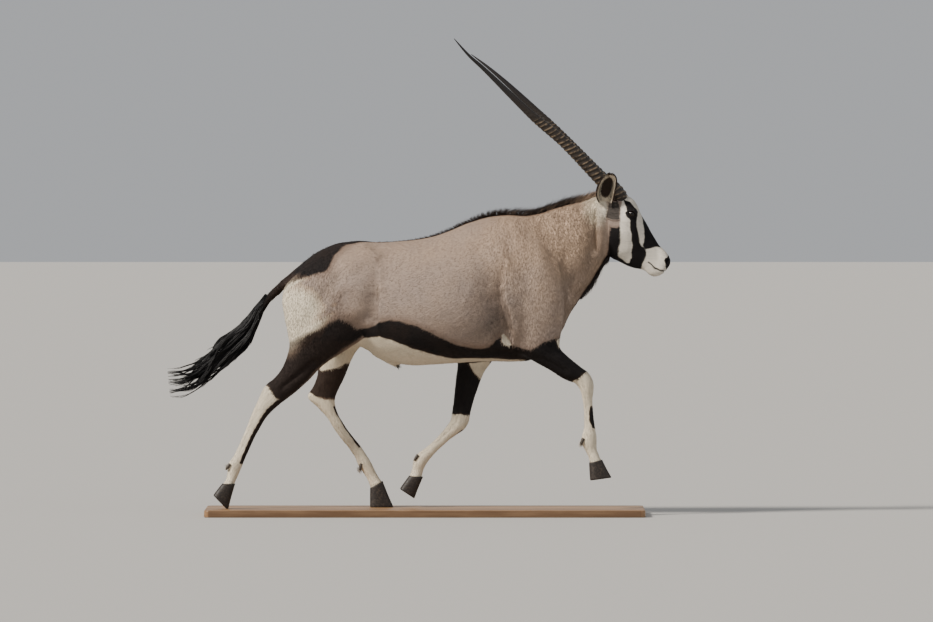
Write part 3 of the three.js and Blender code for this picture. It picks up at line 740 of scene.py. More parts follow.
FORE_LEFT = Form("fore_left", (
    (440, 1150, 384, 1160, 70, 70), (505, 1040, 335, 1075, 130, 112), (545, 930, 295, 955, 150, 128),
    (510, 830, 235, 870, 150, 132), (430, 745, 165, 785, 146, 126), (340, 678, 134, 705, 128, 116),
    (282, 630, 130, 640, 112, 110), (254, 596, 127, 598, 98, 107), (231, 548, 122, 548, 86, 103),
    (214, 500, 117, 498, 76, 99), (199, 452, 111, 448, 68, 95), (189, 412, 105, 405, 66, 91),
    (182, 378, 98, 382, 68, 88), (165, 350, 84, 362, 62, 86), (136, 330, 68, 342, 50, 84),
    (104, 307, 50, 322, 40, 82), (72, 277, 24, 297, 38, 80), (44, 250, -6, 272, 42, 78),
    (20, 222, -34, 250, 54, 77), (2, 194, -50, 224, 56, 76), (-6, 170, -58, 186, 48, 76),
    (-10, 150, -68, 156, 64, 76),
))

HIND_RIGHT = Form("hind_right", (
    (-330, 1082, -450, 1040, 110, -70), (-252, 1000, -555, 968, 170, -104),
    (-212, 915, -586, 898, 186, -116), (-204, 830, -578, 815, 186, -120), (-232, 745, -564, 748, 170, -116),
    (-300, 690, -558, 704, 146, -112), (-352, 658, -562, 672, 128, -110), (-410, 620, -576, 632, 108, -107),
    (-468, 560, -595, 594, 90, -104), (-516, 514, -620, 566, 74, -101), (-560, 479, -646, 546, 64, -99),
    (-596, 452, -664, 524, 64, -97), (-628, 422, -676, 496, 60, -95), (-654, 390, -694, 458, 50, -93),
    (-674, 356, -716, 408, 42, -92), (-696, 312, -740, 348, 38, -91), (-716, 270, -764, 294, 38, -90),
    (-732, 232, -786, 248, 46, -89), (-744, 204, -808, 214, 56, -88), (-756, 176, -812, 178, 50, -88),
    (-768, 150, -818, 150, 52, -88), (-778, 126, -832, 130, 64, -88),
))

HIND_LEFT = Form("hind_left", (
    (-320, 1082, -440, 1040, 110, 70), (-240, 1000, -545, 968, 170, 104), (-192, 915, -575, 898, 186, 116),
    (-176, 830, -556, 815, 184, 120), (-190, 760, -520, 735, 164, 114), (-236, 712, -478, 670, 136, 108),
    (-276, 676, -448, 620, 118, 104), (-298, 640, -444, 586, 102, 100), (-314, 600, -450, 556, 88, 97),
    (-332, 556, -464, 524, 74, 94), (-352, 515, -484, 494, 66, 92), (-365, 478, -482, 474, 66, 90),
    (-364, 442, -448, 442, 60, 88), (-350, 406, -408, 398, 48, 86), (-326, 367, -374, 344, 40, 84),
    (-298, 328, -344, 304, 38, 82), (-270, 294, -316, 270, 40, 80), (-248, 264, -292, 234, 46, 79),
    (-228, 232, -276, 198, 56, 78), (-212, 204, -258, 172, 52, 78), (-196, 170, -240, 142, 50, 78),
    (-172, 132, -226, 104, 64, 78),
))

DOCK = Form("dock", (
    (-500, 1034, -520, 930, 110), (-548, 1002, -566, 926, 76), (-596, 959, -586, 912, 44),
    (-641, 915, -618, 884, 37), (-676, 871, -648, 853, 33), (-701, 838, -666, 822, 32),
))

FORMS = (TORSO, SHEATH, NECK, HEAD, FORE_RIGHT, FORE_LEFT, HIND_RIGHT, HIND_LEFT, DOCK)
LIMBS = ("fore_right", "fore_left", "hind_right", "hind_left")
HAIR_LEAN = {"torso": 0.42, "neck": -0.75}


@dataclass(frozen=True)
class Marking:
    """A dark or white area of the coat, as an outline seen from the side."""

    ink: Ink
    zones: tuple[str, ...]
    outline: Rows
    edge: float = 6.0
    side: Side | None = None
    inner: bool = False


MARKINGS = (
    Marking(DARK, ("torso", "hind_right", "hind_left"), ((-555, 955), (-470, 985), (-400, 1005),
        (-370, 1065), (-330, 1105), (-285, 1130), (-240, 1180), (-510, 1130), (-670, 965), (-670, 885),
        (-585, 910)), edge=12),
    Marking(DARK, ("hind_right", "torso"), ((-635, 695), (-560, 705), (-510, 735), (-430, 770), (-390, 795),
        (-350, 810), (-310, 795), (-280, 770), (-240, 745), (-310, 700), (-370, 655), (-440, 600),
        (-510, 520), (-580, 465), (-610, 480), (-635, 520), (-660, 540), (-715, 555)), edge=26, side=RIGHT),
    Marking(DARK, ("hind_left", "torso"), ((-635, 640), (-560, 690), (-510, 735), (-430, 770), (-390, 795),
        (-350, 810), (-310, 795), (-280, 770), (-230, 745), (-220, 690), (-290, 640), (-300, 585),
        (-345, 475), (-420, 478), (-455, 485), (-480, 505), (-560, 560)), edge=20, side=LEFT),
    Marking(DARK, ("torso", "sheath", "hind_right", "hind_left"), ((-300, 785), (-280, 765), (-225, 775),
        (-185, 795), (-135, 805), (-80, 795), (-20, 775), (60, 735), (125, 705), (185, 690), (240, 685),
        (275, 700), (300, 745), (320, 725), (355, 680), (430, 630), (350, 645), (265, 645), (185, 645),
        (100, 645), (20, 665), (-60, 690), (-145, 725), (-185, 735), (-245, 730)), edge=12),
    Marking(WHITE, ("torso", "sheath", "hind_right"), ((-240, 730), (-185, 735), (-145, 725), (-60, 690),
        (20, 665), (100, 645), (185, 645), (265, 645), (350, 645), (420, 630), (470, 610), (470, 515),
        (-390, 515), (-420, 595), (-330, 670)), edge=6),
    Marking(WHITE, ("hind_left",), ((-240, 730), (-185, 735), (-60, 690), (-60, 640), (-300, 625),
        (-390, 615), (-330, 670)), edge=14, side=LEFT, inner=True),
    Marking(WHITE, ("torso", "hind_right", "hind_left"), ((-670, 915), (-580, 935), (-510, 935), (-450, 905),
        (-425, 855), (-450, 795), (-515, 745), (-570, 710), (-670, 700)), edge=66),
    Marking(DARK, ("torso", "hind_right"), ((-314, 927), (-343, 897), (-354, 868), (-357, 869), (-346, 899),
        (-317, 928)), edge=16, side=RIGHT),
    Marking(WHITE, ("torso", "fore_right", "fore_left"), ((310, 755), (330, 745), (345, 720), (360, 670),
        (335, 680), (315, 715)), edge=5),
    Marking(DARK, ("fore_right", "torso"), ((310, 700), (355, 700), (390, 690), (430, 680), (465, 700),
        (490, 715), (540, 730), (595, 740), (700, 630), (665, 595), (635, 570), (600, 550), (555, 505),
        (390, 555), (300, 635)), side=RIGHT),
    Marking(WHITE, ("torso",), ((250, 645), (300, 642), (400, 641), (424, 632), (430, 600), (250, 590)),
        edge=5),
    Marking(DARK, ("fore_left", "torso"), ((100, 415), (200, 405), (320, 560), (400, 640), (400, 700),
        (330, 730), (250, 725), (180, 700), (90, 690), (60, 500)), side=LEFT),
    Marking(WHITE, ("fore_left",), ((170, 640), (270, 660), (265, 600), (240, 545), (215, 570), (190, 600)),
        side=LEFT, inner=True),
    Marking(WHITE, ("hind_left",), ((-440, 640), (-330, 680), (-300, 640), (-355, 605), (-430, 590)),
        side=LEFT, inner=True),
    Marking(WHITE, ("fore_right",), ((600, 550), (635, 570), (665, 595), (715, 630), (880, 475), (880, 65),
        (470, 65), (535, 515)), side=RIGHT),
    Marking(WHITE, ("fore_left",), ((60, 416), (240, 406), (240, 60), (-160, 60), (-160, 250)), side=LEFT),
    Marking(WHITE, ("hind_right",), ((-760, 555), (-660, 540), (-635, 520), (-610, 480), (-580, 465),
        (-530, 480), (-635, 145), (-920, -20), (-965, 145)), side=RIGHT),
    Marking(WHITE, ("hind_left",), ((-560, 560), (-480, 505), (-420, 470), (-345, 470), (-150, 250),
        (-100, 60), (-300, 60), (-560, 420)), side=LEFT),
    Marking(DARK, ("fore_right",), ((675, 450), (710, 455), (710, 360), (685, 360), (670, 400)), side=RIGHT),
    Marking(DARK, ("fore_left",), ((150, 350), (120, 322), (92, 295), (64, 268), (84, 255), (115, 292),
        (145, 318), (172, 345)), side=LEFT),
    Marking(DARK, ("hind_right",), ((-560, 485), (-585, 435), (-635, 385), (-670, 325), (-700, 270),
        (-735, 210), (-760, 215), (-735, 280), (-705, 340), (-675, 395), (-645, 440), (-605, 475)), edge=5,
        side=RIGHT),
    Marking(DARK, ("hind_left",), ((-340, 480), (-378, 440), (-352, 392), (-328, 350), (-300, 312),
        (-272, 272), (-250, 300), (-280, 345), (-310, 395), (-320, 450)), edge=5, side=LEFT),
    Marking(WHITE, ("fore_right",), ((535, 725), (560, 725), (565, 700), (545, 690)), edge=4, side=RIGHT),
    Marking(WHITE, ("head",), ((805, 1280), (815, 1335), (880, 1310), (1130, 1130), (1130, 885), (880, 925),
        (790, 1040), (800, 1130), (800, 1205)), edge=4),
    Marking(DARK, ("head", "neck"), ((764, 1184), (772, 1180), (788, 1176), (798, 1188), (802, 1130),
        (791, 1065), (825, 1035), (850, 1030), (900, 1000), (880, 965), (735, 1040), (750, 1080),
        (755, 1135)), edge=5),
    Marking(DARK, ("head",), ((812, 1296), (842, 1284), (858, 1262), (872, 1246), (867, 1210), (873, 1165),
        (882, 1114), (893, 1102), (907, 1088), (907, 1065), (895, 1040), (885, 1000), (830, 1015),
        (845, 1055), (850, 1110), (840, 1180), (840, 1210), (830, 1235), (825, 1260)), edge=3),
    Marking(DARK, ("head",), ((872, 1268), (887, 1238), (899, 1172), (899, 1120), (893, 1106), (902, 1091),
        (915, 1093), (945, 1100), (970, 1100), (1015, 1080), (1015, 1150), (920, 1295)), edge=3),
    Marking(WHITE, ("head", "neck"), ((696, 1302), (742, 1294), (754, 1238), (738, 1220), (716, 1248),
        (696, 1280)), edge=14),
)


@dataclass(frozen=True)
class Relief:
    """A ridge, groove or step of the body under the skin, as a line seen from the side.

    The height raises the line itself. The line's left and right are raised by amounts of their
    own, which fade out away from it. A crisp line keeps the fine mesh round it. The start is the
    share of the line over which the relief sets in. The shade is painted shade: it darkens the hair
    on the line's right, a painted shadow in the hollow behind each elbow and before the haunch fold.
    The last rows are the ribs.
    """

    line: Rows
    width: float
    height: float = 0.0
    left: float = 0.0
    left_fade: float = 50.0
    right: float = 0.0
    right_fade: float = 50.0
    side: Side | None = None
    crisp: bool = False
    start: float = 0.2
    shade: float = 0.0
    shade_fade: float = 60.0


RELIEFS = (
    Relief(((-186, 1120), (-187, 1040), (-190, 985), (-192, 885), (-194, 810), (-204, 735)), 16, right=-14,
        right_fade=70, crisp=True, start=0.6, shade=0.3, shade_fade=84),
    Relief(((-220, 1055), (-260, 1010), (-305, 965)), 16, height=-3.5),
    Relief(((-222, 925), (-220, 850), (-236, 780)), 24, height=-6),
    Relief(((330, 1085), (320, 944), (326, 891), (338, 850), (348, 809), (357, 760), (362, 690)), 11,
        right=-44, right_fade=92, side=RIGHT, crisp=True, start=0.5, shade=0.43, shade_fade=180),
    Relief(((330, 1080), (295, 955), (240, 870), (175, 790), (140, 710)), 11, right=-36, right_fade=92,
        side=LEFT, crisp=True, start=0.45, shade=0.36, shade_fade=180),
    Relief(((235, 1180), (310, 1070), (375, 975), (440, 870)), 24, height=6),
    Relief(((210, 1135), (240, 1040), (275, 950)), 26, height=-6),
    Relief(((430, 1170), (490, 1100), (549, 1042), (575, 960), (589, 891), (590, 830)), 34, left=-9,
        left_fade=60, right=6, right_fade=60),
    Relief(((720, 1200), (702, 1125), (676, 1060), (640, 975), (590, 870)), 18, height=-5),
    Relief(((700, 1262), (706, 1198), (706, 1130), (712, 1060)), 12, height=-8, left=8, left_fade=34,
        right=-9, right_fade=44),
    Relief(((625, 1245), (600, 1130), (560, 1010)), 22, height=-3),
    Relief(((142, 880), (158, 935), (180, 990)), 8, height=-4, left=2, left_fade=16),
    Relief(((182, 865), (203, 925), (226, 975)), 8, height=-4.5, left=2, left_fade=16),
    Relief(((226, 880), (242, 930), (262, 972)), 7, height=-4, left=2, left_fade=14),
    Relief(((-150, 1100), (-138, 1020), (-160, 940)), 45, height=-9),
    Relief(((-275, 1118), (-225, 1080), (-180, 1046)), 24, height=9),
    Relief(((-320, 1030), (-400, 920), (-455, 830), (-510, 735)), 26, height=-6),
    Relief(((-245, 990), (-270, 880), (-290, 780)), 38, height=5),
    Relief(((285, 705), (350, 690), (415, 668)), 20, height=6, side=RIGHT),
    Relief(((476, 775), (500, 742), (530, 732), (556, 748)), 8, height=-4, side=RIGHT),
    Relief(((425, 664), (520, 625), (600, 580)), 13, height=-5, side=RIGHT),
    Relief(((208, 655), (180, 560), (163, 465)), 13, height=-5, side=LEFT),
    Relief(((-425, 655), (-520, 575), (-602, 510)), 12, height=-8, side=RIGHT),
    Relief(((-368, 615), (-405, 545), (-436, 480)), 12, height=-8, side=LEFT),
    Relief(((792, 1180), (783, 1115), (805, 1055)), 34, height=5),
    Relief(((856, 1228), (880, 1165), (908, 1105)), 9, height=3),
    Relief(((832, 1215), (848, 1130), (852, 1050)), 12, height=-3),
    Relief(((772, 1282), (800, 1262), (828, 1236)), 18, height=-6),
    Relief(((737, 1226), (752, 1214), (770, 1208), (788, 1208), (804, 1214)), 5, left=3.5, left_fade=12,
        right=-2, right_fade=14),
    Relief(((812, 1262), (840, 1268), (874, 1256)), 9, height=4),
    Relief(((918, 1165), (950, 1090), (968, 1040)), 11, height=-2.4),
    *(Relief(((x, 1040), (x - 34, 740)), 15, height=1.5) for x in range(-120, 189, 44)),
)
# The temple below the ear, painted grey and darker: a painted shadow of the ear over the temple's own grey.
TEMPLE = ((737, 1224), (752, 1213), (770, 1208), (790, 1208), (802, 1214), (806, 1262), (790, 1290),
    (752, 1290))


@dataclass(frozen=True)
class EyeShape:
    """Places and sizes of the eye and its lids, in millimetres."""

    radius: float = 19.0
    x: float = 846.0
    z: float = 1236.0
    side: float = 66.0
    half_long: float = 16.0
    half_high: float = 10.5
    tilt: float = -0.42
    lid: float = 3.2

    def turned(self, along: Array, rise: Array, turn: int = 1) -> tuple[Array, Array]:
        """Turns places into the eye's own tilt, or with -1 back out of it."""
        cos, sin = math.cos(self.tilt), turn * math.sin(self.tilt)
        return along * cos + rise * sin, -along * sin + rise * cos


@dataclass(frozen=True)
class EarShape:
    """Places and sizes of an ear, in millimetres."""

    length: float = 152.0
    wall: float = 4.2
    lean: float = 0.5
    side: float = 58.0
    bow: float = 17.0
    x: float = 752.0
    z: float = 1266.0
    rows: int = 40
    columns: int = 28

    def frame(self, side: Side) -> tuple[Array, Array, Array, Array]:
        """Gives the ear's root, its upward, sideways and outward directions.

        Args:
            side: The ear's side.

        Returns:
            The root and the three directions.
        """
        up = unit(np.array([0.07, side.value * self.lean, 1.0]))
        wide = unit(np.array([1.0, 0.0, -0.06]))
        face = unit(np.cross(up, wide) * side.value)
        return np.array([self.x, side.value * self.side, self.z]) * MM, up, wide, face

    def half(self, run: Array) -> Array:
        """Gives half the ear's width at a share of its length, in millimetres."""
        away = np.clip(run, 0, 1) - 0.5
        away = np.minimum(np.abs(away) / np.where(away > 0, 0.502, 0.56), 1)
        return 2 + 37 * (1 - away**2.3) ** np.where(run > 0.5, 0.48, 0.7)

    def swing(self, run: Array) -> Array:
        """Gives how far forward the ear's middle line lies at a share of its length."""
        return -self.bow * np.sin(math.pi * np.clip(run, 0, 1) ** 0.6)

    def shell(self, side: Side) -> Shell:
        """Builds the ear's cup as a closed thin wall on a round root.

        Args:
            side: Which ear.

        Returns:
            Its points in metres and its faces.
        """
        root, up, wide, face = self.frame(side)
        run = np.linspace(-0.3, 1, self.rows)[:, None]
        turn = np.linspace(-0.5, 0.5, self.columns)[None] * math.pi
        lift = np.clip(run, 0, 1)
        layers = []
        for wall in (0.0, self.wall):
            half = np.maximum(self.half(run) - wall, 1.4)
            deep = np.maximum(6 + 15 * np.sin(math.pi * (0.25 + 0.75 * lift)) - wall, 1.4)
            out = 6 - deep * np.cos(turn * 1.1)
            sideways = half * np.sin(turn * 1.1) + self.swing(lift)
            rise = self.length * run - wall * lift * (1 + 0 * turn)
            layers.append(root + (rise[..., None] * up + sideways[..., None] * wide + out[..., None] * face)
                * MM)
        points = np.concatenate([layer.reshape(-1, 3) for layer in layers])
        shift = self.rows * self.columns
        faces = []
        for row in range(self.rows - 1):
            for i in range(self.columns - 1):
                a = row * self.columns + i
                quad = (a, a + 1, a + self.columns + 1, a + self.columns)
                faces += [quad, tuple(shift + corner for corner in quad)]
            for a in (row * self.columns, (row + 1) * self.columns - 1):
                faces.append((a, a + self.columns, shift + a + self.columns, shift + a))
        for i in range(self.columns - 1):
            for a in (i, (self.rows - 1) * self.columns + i):
                faces.append((a, a + 1, shift + a + 1, shift + a))
        return points, faces

    def locate(self, points: Array, side: Side) -> tuple[Array, Array, Array, Array]:
        """Finds where points lie on the ear.

        Args:
            points: Places in metres.
            side: Which ear.

        Returns:
            The share of its length, the places across and out in millimetres, and the direction.
        """
        root, up, wide, face = self.frame(side)
        away = (points - root) / MM
        run = away @ up / self.length
        return run, away @ wide - self.swing(run), away @ face, np.broadcast_to(up, points.shape)


HORN_SEAT = (799.0, 37.0, 1297.0)
EYE = EyeShape()
EAR = EarShape()


@dataclass
class Surface:
    """The skin's vertices: places in metres, outward directions, zones and shares of an ear."""

    points: Array
    normals: Array
    names: Array
    ears: Array

    def on(self, *zones: str) -> Array:
        """Tells which vertices belong to the zones."""
        return np.isin(self.names, zones)

    def beside(self, side: Side) -> Array:
        """Tells which vertices lie on a side."""
        return self.points[:, 1] * side.value > 0


@dataclass
class Skin:
    """The one skin over all the flesh, with the values that the coat and the finishes read."""

    voxel: float = 5.0
    sides: int = 56
    steps: int = 6
    kept: float = 0.36
    crisp_reach: float = 24.0
    head_from: float = 0.735

    def build(self) -> Object:
        """Builds the whole skin.

        Returns:
            The skin's object, with its attributes and no material yet.
        """
        skin = self.fuse()
        self.even(skin)
        self.thin(skin)
        self.split_finer(skin, lambda points: points[:, 0] > self.head_from)
        self.split_finer(skin, self.on_fine_face)
        set_points(skin.data, relax(vertex_array(skin.data), edge_array(skin.data), 0.35, 2))
        self.sculpt(skin.data)
        self.join_ears(skin)
        self.write_values(skin.data)
        return skin

    def fuse(self) -> Object:
        """Fuses the forms into one closed surface.

        Returns:
            The new object.
        """
        points, faces, shift = [], [], 0
        for form in FORMS:
            form_points, form_faces = form.shell(self.steps, self.sides, -COAT_DEPTH)
            points.append(form_points)
            faces += [tuple(corner + shift for corner in face) for face in form_faces]
            shift += len(form_points)
        rough = make_mesh("rough", np.concatenate(points), faces)
        mesh = modified(rough, "REMESH", mode="VOXEL", voxel_size=self.voxel * MM)
        bpy.data.objects.remove(rough)
        return place_mesh("skin", shade_smooth(mesh))

    @staticmethod
    def gaps(points: Array) -> tuple[list[dict[str, Array]], Array, Array]:
        """Locates points on every form, with the nearest form and how clearly it is nearest.

        Args:
            points: The points, in metres.

        Returns:
            Each form's measures, the nearest one and how clearly it is nearest.
        """
        places = [form.locate(points) for form in FORMS]
        reach = np.stack([place["reach"] for place in places])
        order = np.sort(reach, axis=0)
        return places, reach.argmin(axis=0), order[1] - order[0]

    def even(self, skin: Object) -> None:
        """Blends the forms into each other and takes away the steps of the fusing.

        Args:
            skin: The skin.
        """
        points, edges = vertex_array(skin.data), edge_array(skin.data)
        _, nearest, gap = self.gaps(points)
        join = 1 - ease(gap, 0.05, 0.4)
        small = np.isin(nearest, [1, 3])
        slim = (points[:, 2] < 0.62) & ~small
        join[small] *= 0.35
        join[slim] *= 0.25
        points = relax(points, edges, 0.55 * join, 70)
        for pull in (0.5, -0.53) * 5:
            points = relax(points, edges, pull, 1)
        set_points(skin.data, points)

    def thin(self, skin: Object) -> None:
        """Thins the mesh on the broad body and keeps it on the head, lower legs and crisp lines.

        Args:
            skin: The skin.
        """
        points = vertex_array(skin.data)
        broad = ease(points[:, 2], 0.5, 0.62) * fade(points[:, 0], 0.68, 0.72)
        for relief in RELIEFS:
            if relief.crisp:
                on_side = relief.side is None or points[:, 1] * relief.side.value > 0
                broad[(line_distance(flat(points), relief.line) < self.crisp_reach) & on_side] = 0
        group = skin.vertex_groups.new(name="broad")
        for level in (0.0, 1.0):
            group.add(np.nonzero((broad > 0.5) == bool(level))[0].tolist(), level, "REPLACE")
        mesh = modified(skin, "DECIMATE", ratio=self.kept, vertex_group="broad", vertex_group_factor=1.0)
        skin.vertex_groups.clear()
        skin.data = mesh

    @staticmethod
    def on_fine_face(points: Array) -> Array:
        """Picks the lids, nostrils and mouth.

        Args:
            points: The points, in metres.

        Returns:
            Whether each point lies on them.
        """
        places = flat(points)
        eye = (np.hypot(*(places - (EYE.x, EYE.z)).T) < 27) & (np.abs(points[:, 1]) > 0.045)
        nostril = np.hypot(*(places - Muzzle.NOSTRIL).T) < 17
        return eye | nostril | (line_distance(places, Muzzle.MOUTH) < 9)

    @staticmethod
    def split_finer(skin: Object, chooser: Callable[[Array], Array]) -> None:
        """Cuts each face of a chosen region into four.

        Args:
            skin: The skin.
            chooser: Says which points lie in the region.
        """
        shape = bmesh.new()
        shape.from_mesh(skin.data)
        shape.verts.ensure_lookup_table()
        chosen = chooser(np.array([vert.co for vert in shape.verts]))
        edges = [edge for edge in shape.edges if chosen[edge.verts[0].index] and chosen[edge.verts[1].index]]
        bmesh.ops.subdivide_edges(shape, edges=edges, cuts=1, use_grid_fill=True, smooth=0.0)
        shape.to_mesh(skin.data)
        shape.free()
        skin.data.update()

    def sculpt(self, mesh: Mesh) -> None:
        """Raises muscles, folds and veins of the body, then the features of the face.

        Args:
            mesh: The skin's mesh.
        """
        points, normals = vertex_array(mesh), vertex_array(mesh, "normal")
        places = flat(points)
        rise = sum(self.lift(relief, places, normals[:, 1]) for relief in RELIEFS)
        rise += 0.7 * ripple(points, 0.09, 4) + 0.15 * ripple(points, 0.035, 9)
        places_on, nearest, _ = self.gaps(points)
        for i, form in enumerate(FORMS):
            if form.name in LIMBS:
                rise += np.where(nearest == i, self.tendons(places_on[i], form.name), 0)
        points += normals * (rise * MM)[:, None]
        for side in Side:
            away = np.linalg.norm(points - np.array(HORN_SEAT) * (MM, side.value * MM, MM), axis=1) / MM
            points += normals * (8 * MM * bell(away, 25))[:, None]
        points += Muzzle.shape(points, normals)
        set_points(mesh, points + self.lids(points, normals))

    @staticmethod
    def lift(relief: Relief, places: Array, facing: Array) -> Array:
        """Works out how far one relief raises each vertex, in millimetres.

        Args:
            relief: The relief.
            places: The points seen from the side, in millimetres.
            facing: The y of each point's normal.

        Returns:
            The rise of each vertex.
        """
        signed, share = line_place(places, relief.line)
        over = ease(signed, -relief.width / 2, relief.width / 2)
        rise = relief.height * bell(signed, relief.width)
        rise += over * relief.left * bell(signed, relief.left_fade)
        rise += (1 - over) * relief.right * bell(signed, relief.right_fade)
        rise *= ease(share, 0, relief.start) * fade(share, 0.8, 1)
        return rise * ease(np.abs(facing) if relief.side is None else facing * relief.side.value, 0.15, 0.55)

    @staticmethod
    def darken(relief: Relief, points: Array) -> Array:
        """Works out the painted shade that one relief lays on the hair at each vertex: a painted shadow on
        the line's right that also covers the lit wall of the step.

        Args:
            relief: The relief.
            points: The points, in metres.

        Returns:
            The painted shade of each vertex.
        """
        signed, share = line_place(flat(points), relief.line)
        dark = relief.shade * fade(signed, 1, 9) * bell(signed, relief.shade_fade)
        dark *= ease(share, 0.08, 0.62) * fade(share, 0.85, 1)
        if relief.side is not None:
            dark *= points[:, 1] * relief.side.value > 0
        return dark

    @staticmethod
    def tendons(place: dict[str, Array], limb: str) -> Array:
        """Sinks the groove between bone and tendon down each cannon, in millimetres.

        Args:
            place: Where each point lies on the leg.
            limb: The leg's name.

        Returns:
            The depth at each vertex.
        """
        low, high = (0.66, 0.84) if limb.startswith("fore") else (0.68, 0.86)
        window = ease(place["share"], low, low + 0.04) * fade(place["share"], high, high + 0.03)
        groove = bell(place["up"] + 0.3, 0.2)
        front = bell(place["up"] - 0.45, 0.25)
        return window * (0.7 * front - 2.6 * groove)

    @staticmethod
    def lids(points: Array, normals: Array) -> Array:
        """Opens the eyes and raises the lids round them.

        Args:
            points: Places in metres.
            normals: Outward directions.

        Returns:
            How far each vertex moves, in metres.
        """
        moved = np.zeros_like(points)
        for side in Side:
            away = points / MM - np.array([EYE.x, side.value * EYE.side, EYE.z])
            long, high = EYE.turned(away[:, 0], away[:, 2])
            outer = away[:, 1] * side.value
            near = (np.hypot(long, high) < 45) & (outer > -20)
            gape = np.where(near, np.hypot(long / EYE.half_long, high / EYE.half_high), 9.0)
            sphere = np.sqrt(np.maximum(EYE.radius**2 - long**2 - high**2, 0))
            open_eye = 1 - ease(gape, 0.86, 1.02)
            target = side.value * (EYE.side + np.where(sphere > 0, sphere - 4.5, -9)) * MM
            rim = bell(gape - 1.16, 0.17)
            fold = bell(gape - 1.75, 0.16) * ease(high, -4, 8)
            away = np.hypot(long, high)
            seat = side.value * (EYE.side + np.sqrt(np.maximum((EYE.radius + 1.4) ** 2 - away**2, 60))) * MM
            shut = np.where(near, fade(away, EYE.radius, EYE.radius + 9) * (1 - open_eye), 0)
            height = (EYE.lid * rim - 1.4 * fold) * MM
            moved += normals * np.where(near, height * (1 - open_eye), 0)[:, None]
            moved[:, 1] += np.where(near, open_eye * (target - points[:, 1]), 0)
            low = side.value * (seat - points[:, 1]) > 0
            moved[:, 1] += np.where(near & low, shut * (seat - points[:, 1]), 0)
        return moved

    def join_ears(self, skin: Object) -> None:
        """Grows both ears out of the skin as one surface with it.

        Args:
            skin: The skin.
        """
        for side in Side:
            points, faces = EAR.shell(side)
            ear = make_mesh("ear", points, faces)
            joined = modified(skin, "BOOLEAN", operation="UNION", solver="MANIFOLD", object=ear)
            if len(joined.polygons) > len(skin.data.polygons):
                skin.data = joined
            else:
                LOG.warning("the %s ear didn't join", side.name.lower())
            bpy.data.objects.remove(ear)
        points = vertex_array(skin.data)
        away = np.minimum(*(np.linalg.norm(points - EAR.frame(side)[0], axis=1) for side in Side))
        weight = 0.5 * fade(away, 0.022, 0.034)
        set_points(shade_smooth(skin.data), relax(points, edge_array(skin.data), weight, 12))

    def write_values(self, mesh: Mesh) -> None:
        """Stores markings, painted shade, hair lie, hair length and coat pieces on the skin.

        Args:
            mesh: The skin's mesh.
        """
        for stale in [a.name for a in mesh.attributes if not a.is_internal and not a.is_required]:
            if stale != "sharp_face":
                mesh.attributes.remove(mesh.attributes[stale])
        points, normals = vertex_array(mesh), vertex_array(mesh, "normal")
        places, nearest, gap = self.gaps(points)
        reach = np.stack([place["reach"] for place in places])
        pull = np.exp(-14 * (reach - reach.min(axis=0)))
        way = sum(share[:, None] * place["way"] for share, place in zip(pull, places))
        names = np.array([form.name for form in FORMS])[nearest]
        names[(names == "neck") & (points[:, 0] > 0.709) & (points[:, 2] > 1.055)] = "head"
        lie, chart = np.zeros_like(points), np.zeros_like(points)
        for i, (form, spot) in enumerate(zip(FORMS, places)):
            here = nearest == i
            lean = HAIR_LEAN.get(form.name, 0.0)
            across = spot["deep"] * math.cos(lean) - spot["along"] * math.sin(lean)
            along = spot["along"] * math.cos(lean) + spot["deep"] * math.sin(lean)
            lie[here] = np.stack([spot["away"], across, along], 1)[here]
            turn = np.arctan2(spot["out"], spot["up"]) / math.pi
            chart[here] = np.stack([spot["share"], 0.5 + 0.5 * turn, 0 * turn], 1)[here]
        ears = np.zeros(len(points))
        for side in Side:
            run, across, out, up = EAR.locate(points, side)
            on_ear = (run > 0.12) & (run < 1.1) & (np.abs(across) < 50) & (out > -34) & (out < 34)
            on_ear &= (points[:, 1] * side.value > 0.045) & (points[:, 2] > 1.262)
            names[on_ear] = "ear"
            ears[on_ear] = run[on_ear]
            way[on_ear] = up[on_ear]
            lie[on_ear] = np.stack([across, out, run * EAR.length], 1)[on_ear] * MM
            share = 0.25 + 0.5 * run
            chart[on_ear] = np.stack([share, 0.5 + side.value * (0.1 + across / 120), 0 * run], 1)[on_ear]
        edges = edge_array(mesh)
        skin = Surface(points, normals, names, ears)
        way = self.comb(skin, way, edges)
        dark, white = paint(skin)
        brindle = brindling(skin)
        streaks = 0.9 * draw_out(points, way, edges, 44, 61) + 0.3 * draw_out(points, way, edges, 8, 62)
        # Painted shade: a painted shadow in the hollows behind the elbows and before the haunch folds, taken
        # off the hair's tone.
        shade = sum(self.darken(relief, points) for relief in RELIEFS if relief.shade)
        shade = shade * ~skin.on("neck", "head", "ear", "dock")
        # The temple's painted shadow is kept even: its streaks are calmed.
        plain = 1 - 0.85 * ease(outline_depth(flat(points), TEMPLE), -3, 5) * skin.on("head")
        warm = warmth(skin)
        warm = np.where(~skin.on("head", "ear", "neck") & (white > -2), np.maximum(warm, 0.85), warm)
        set_attributes(mesh, mottle=brindle * streaks * plain - shade, vary=(0.2 + 2.2 * brindle) * plain,
            dark=dark, white=white, warm=warm, flow=way, lie=lie, chart=0.01 + 0.97 * chart,
            hair=hair_length(skin), calm=ease(gap, 0.02, 0.1) * (names != "ear") + (names == "ear"),
            crowd=crowding(skin))
        self.write_pieces(mesh, points, names)

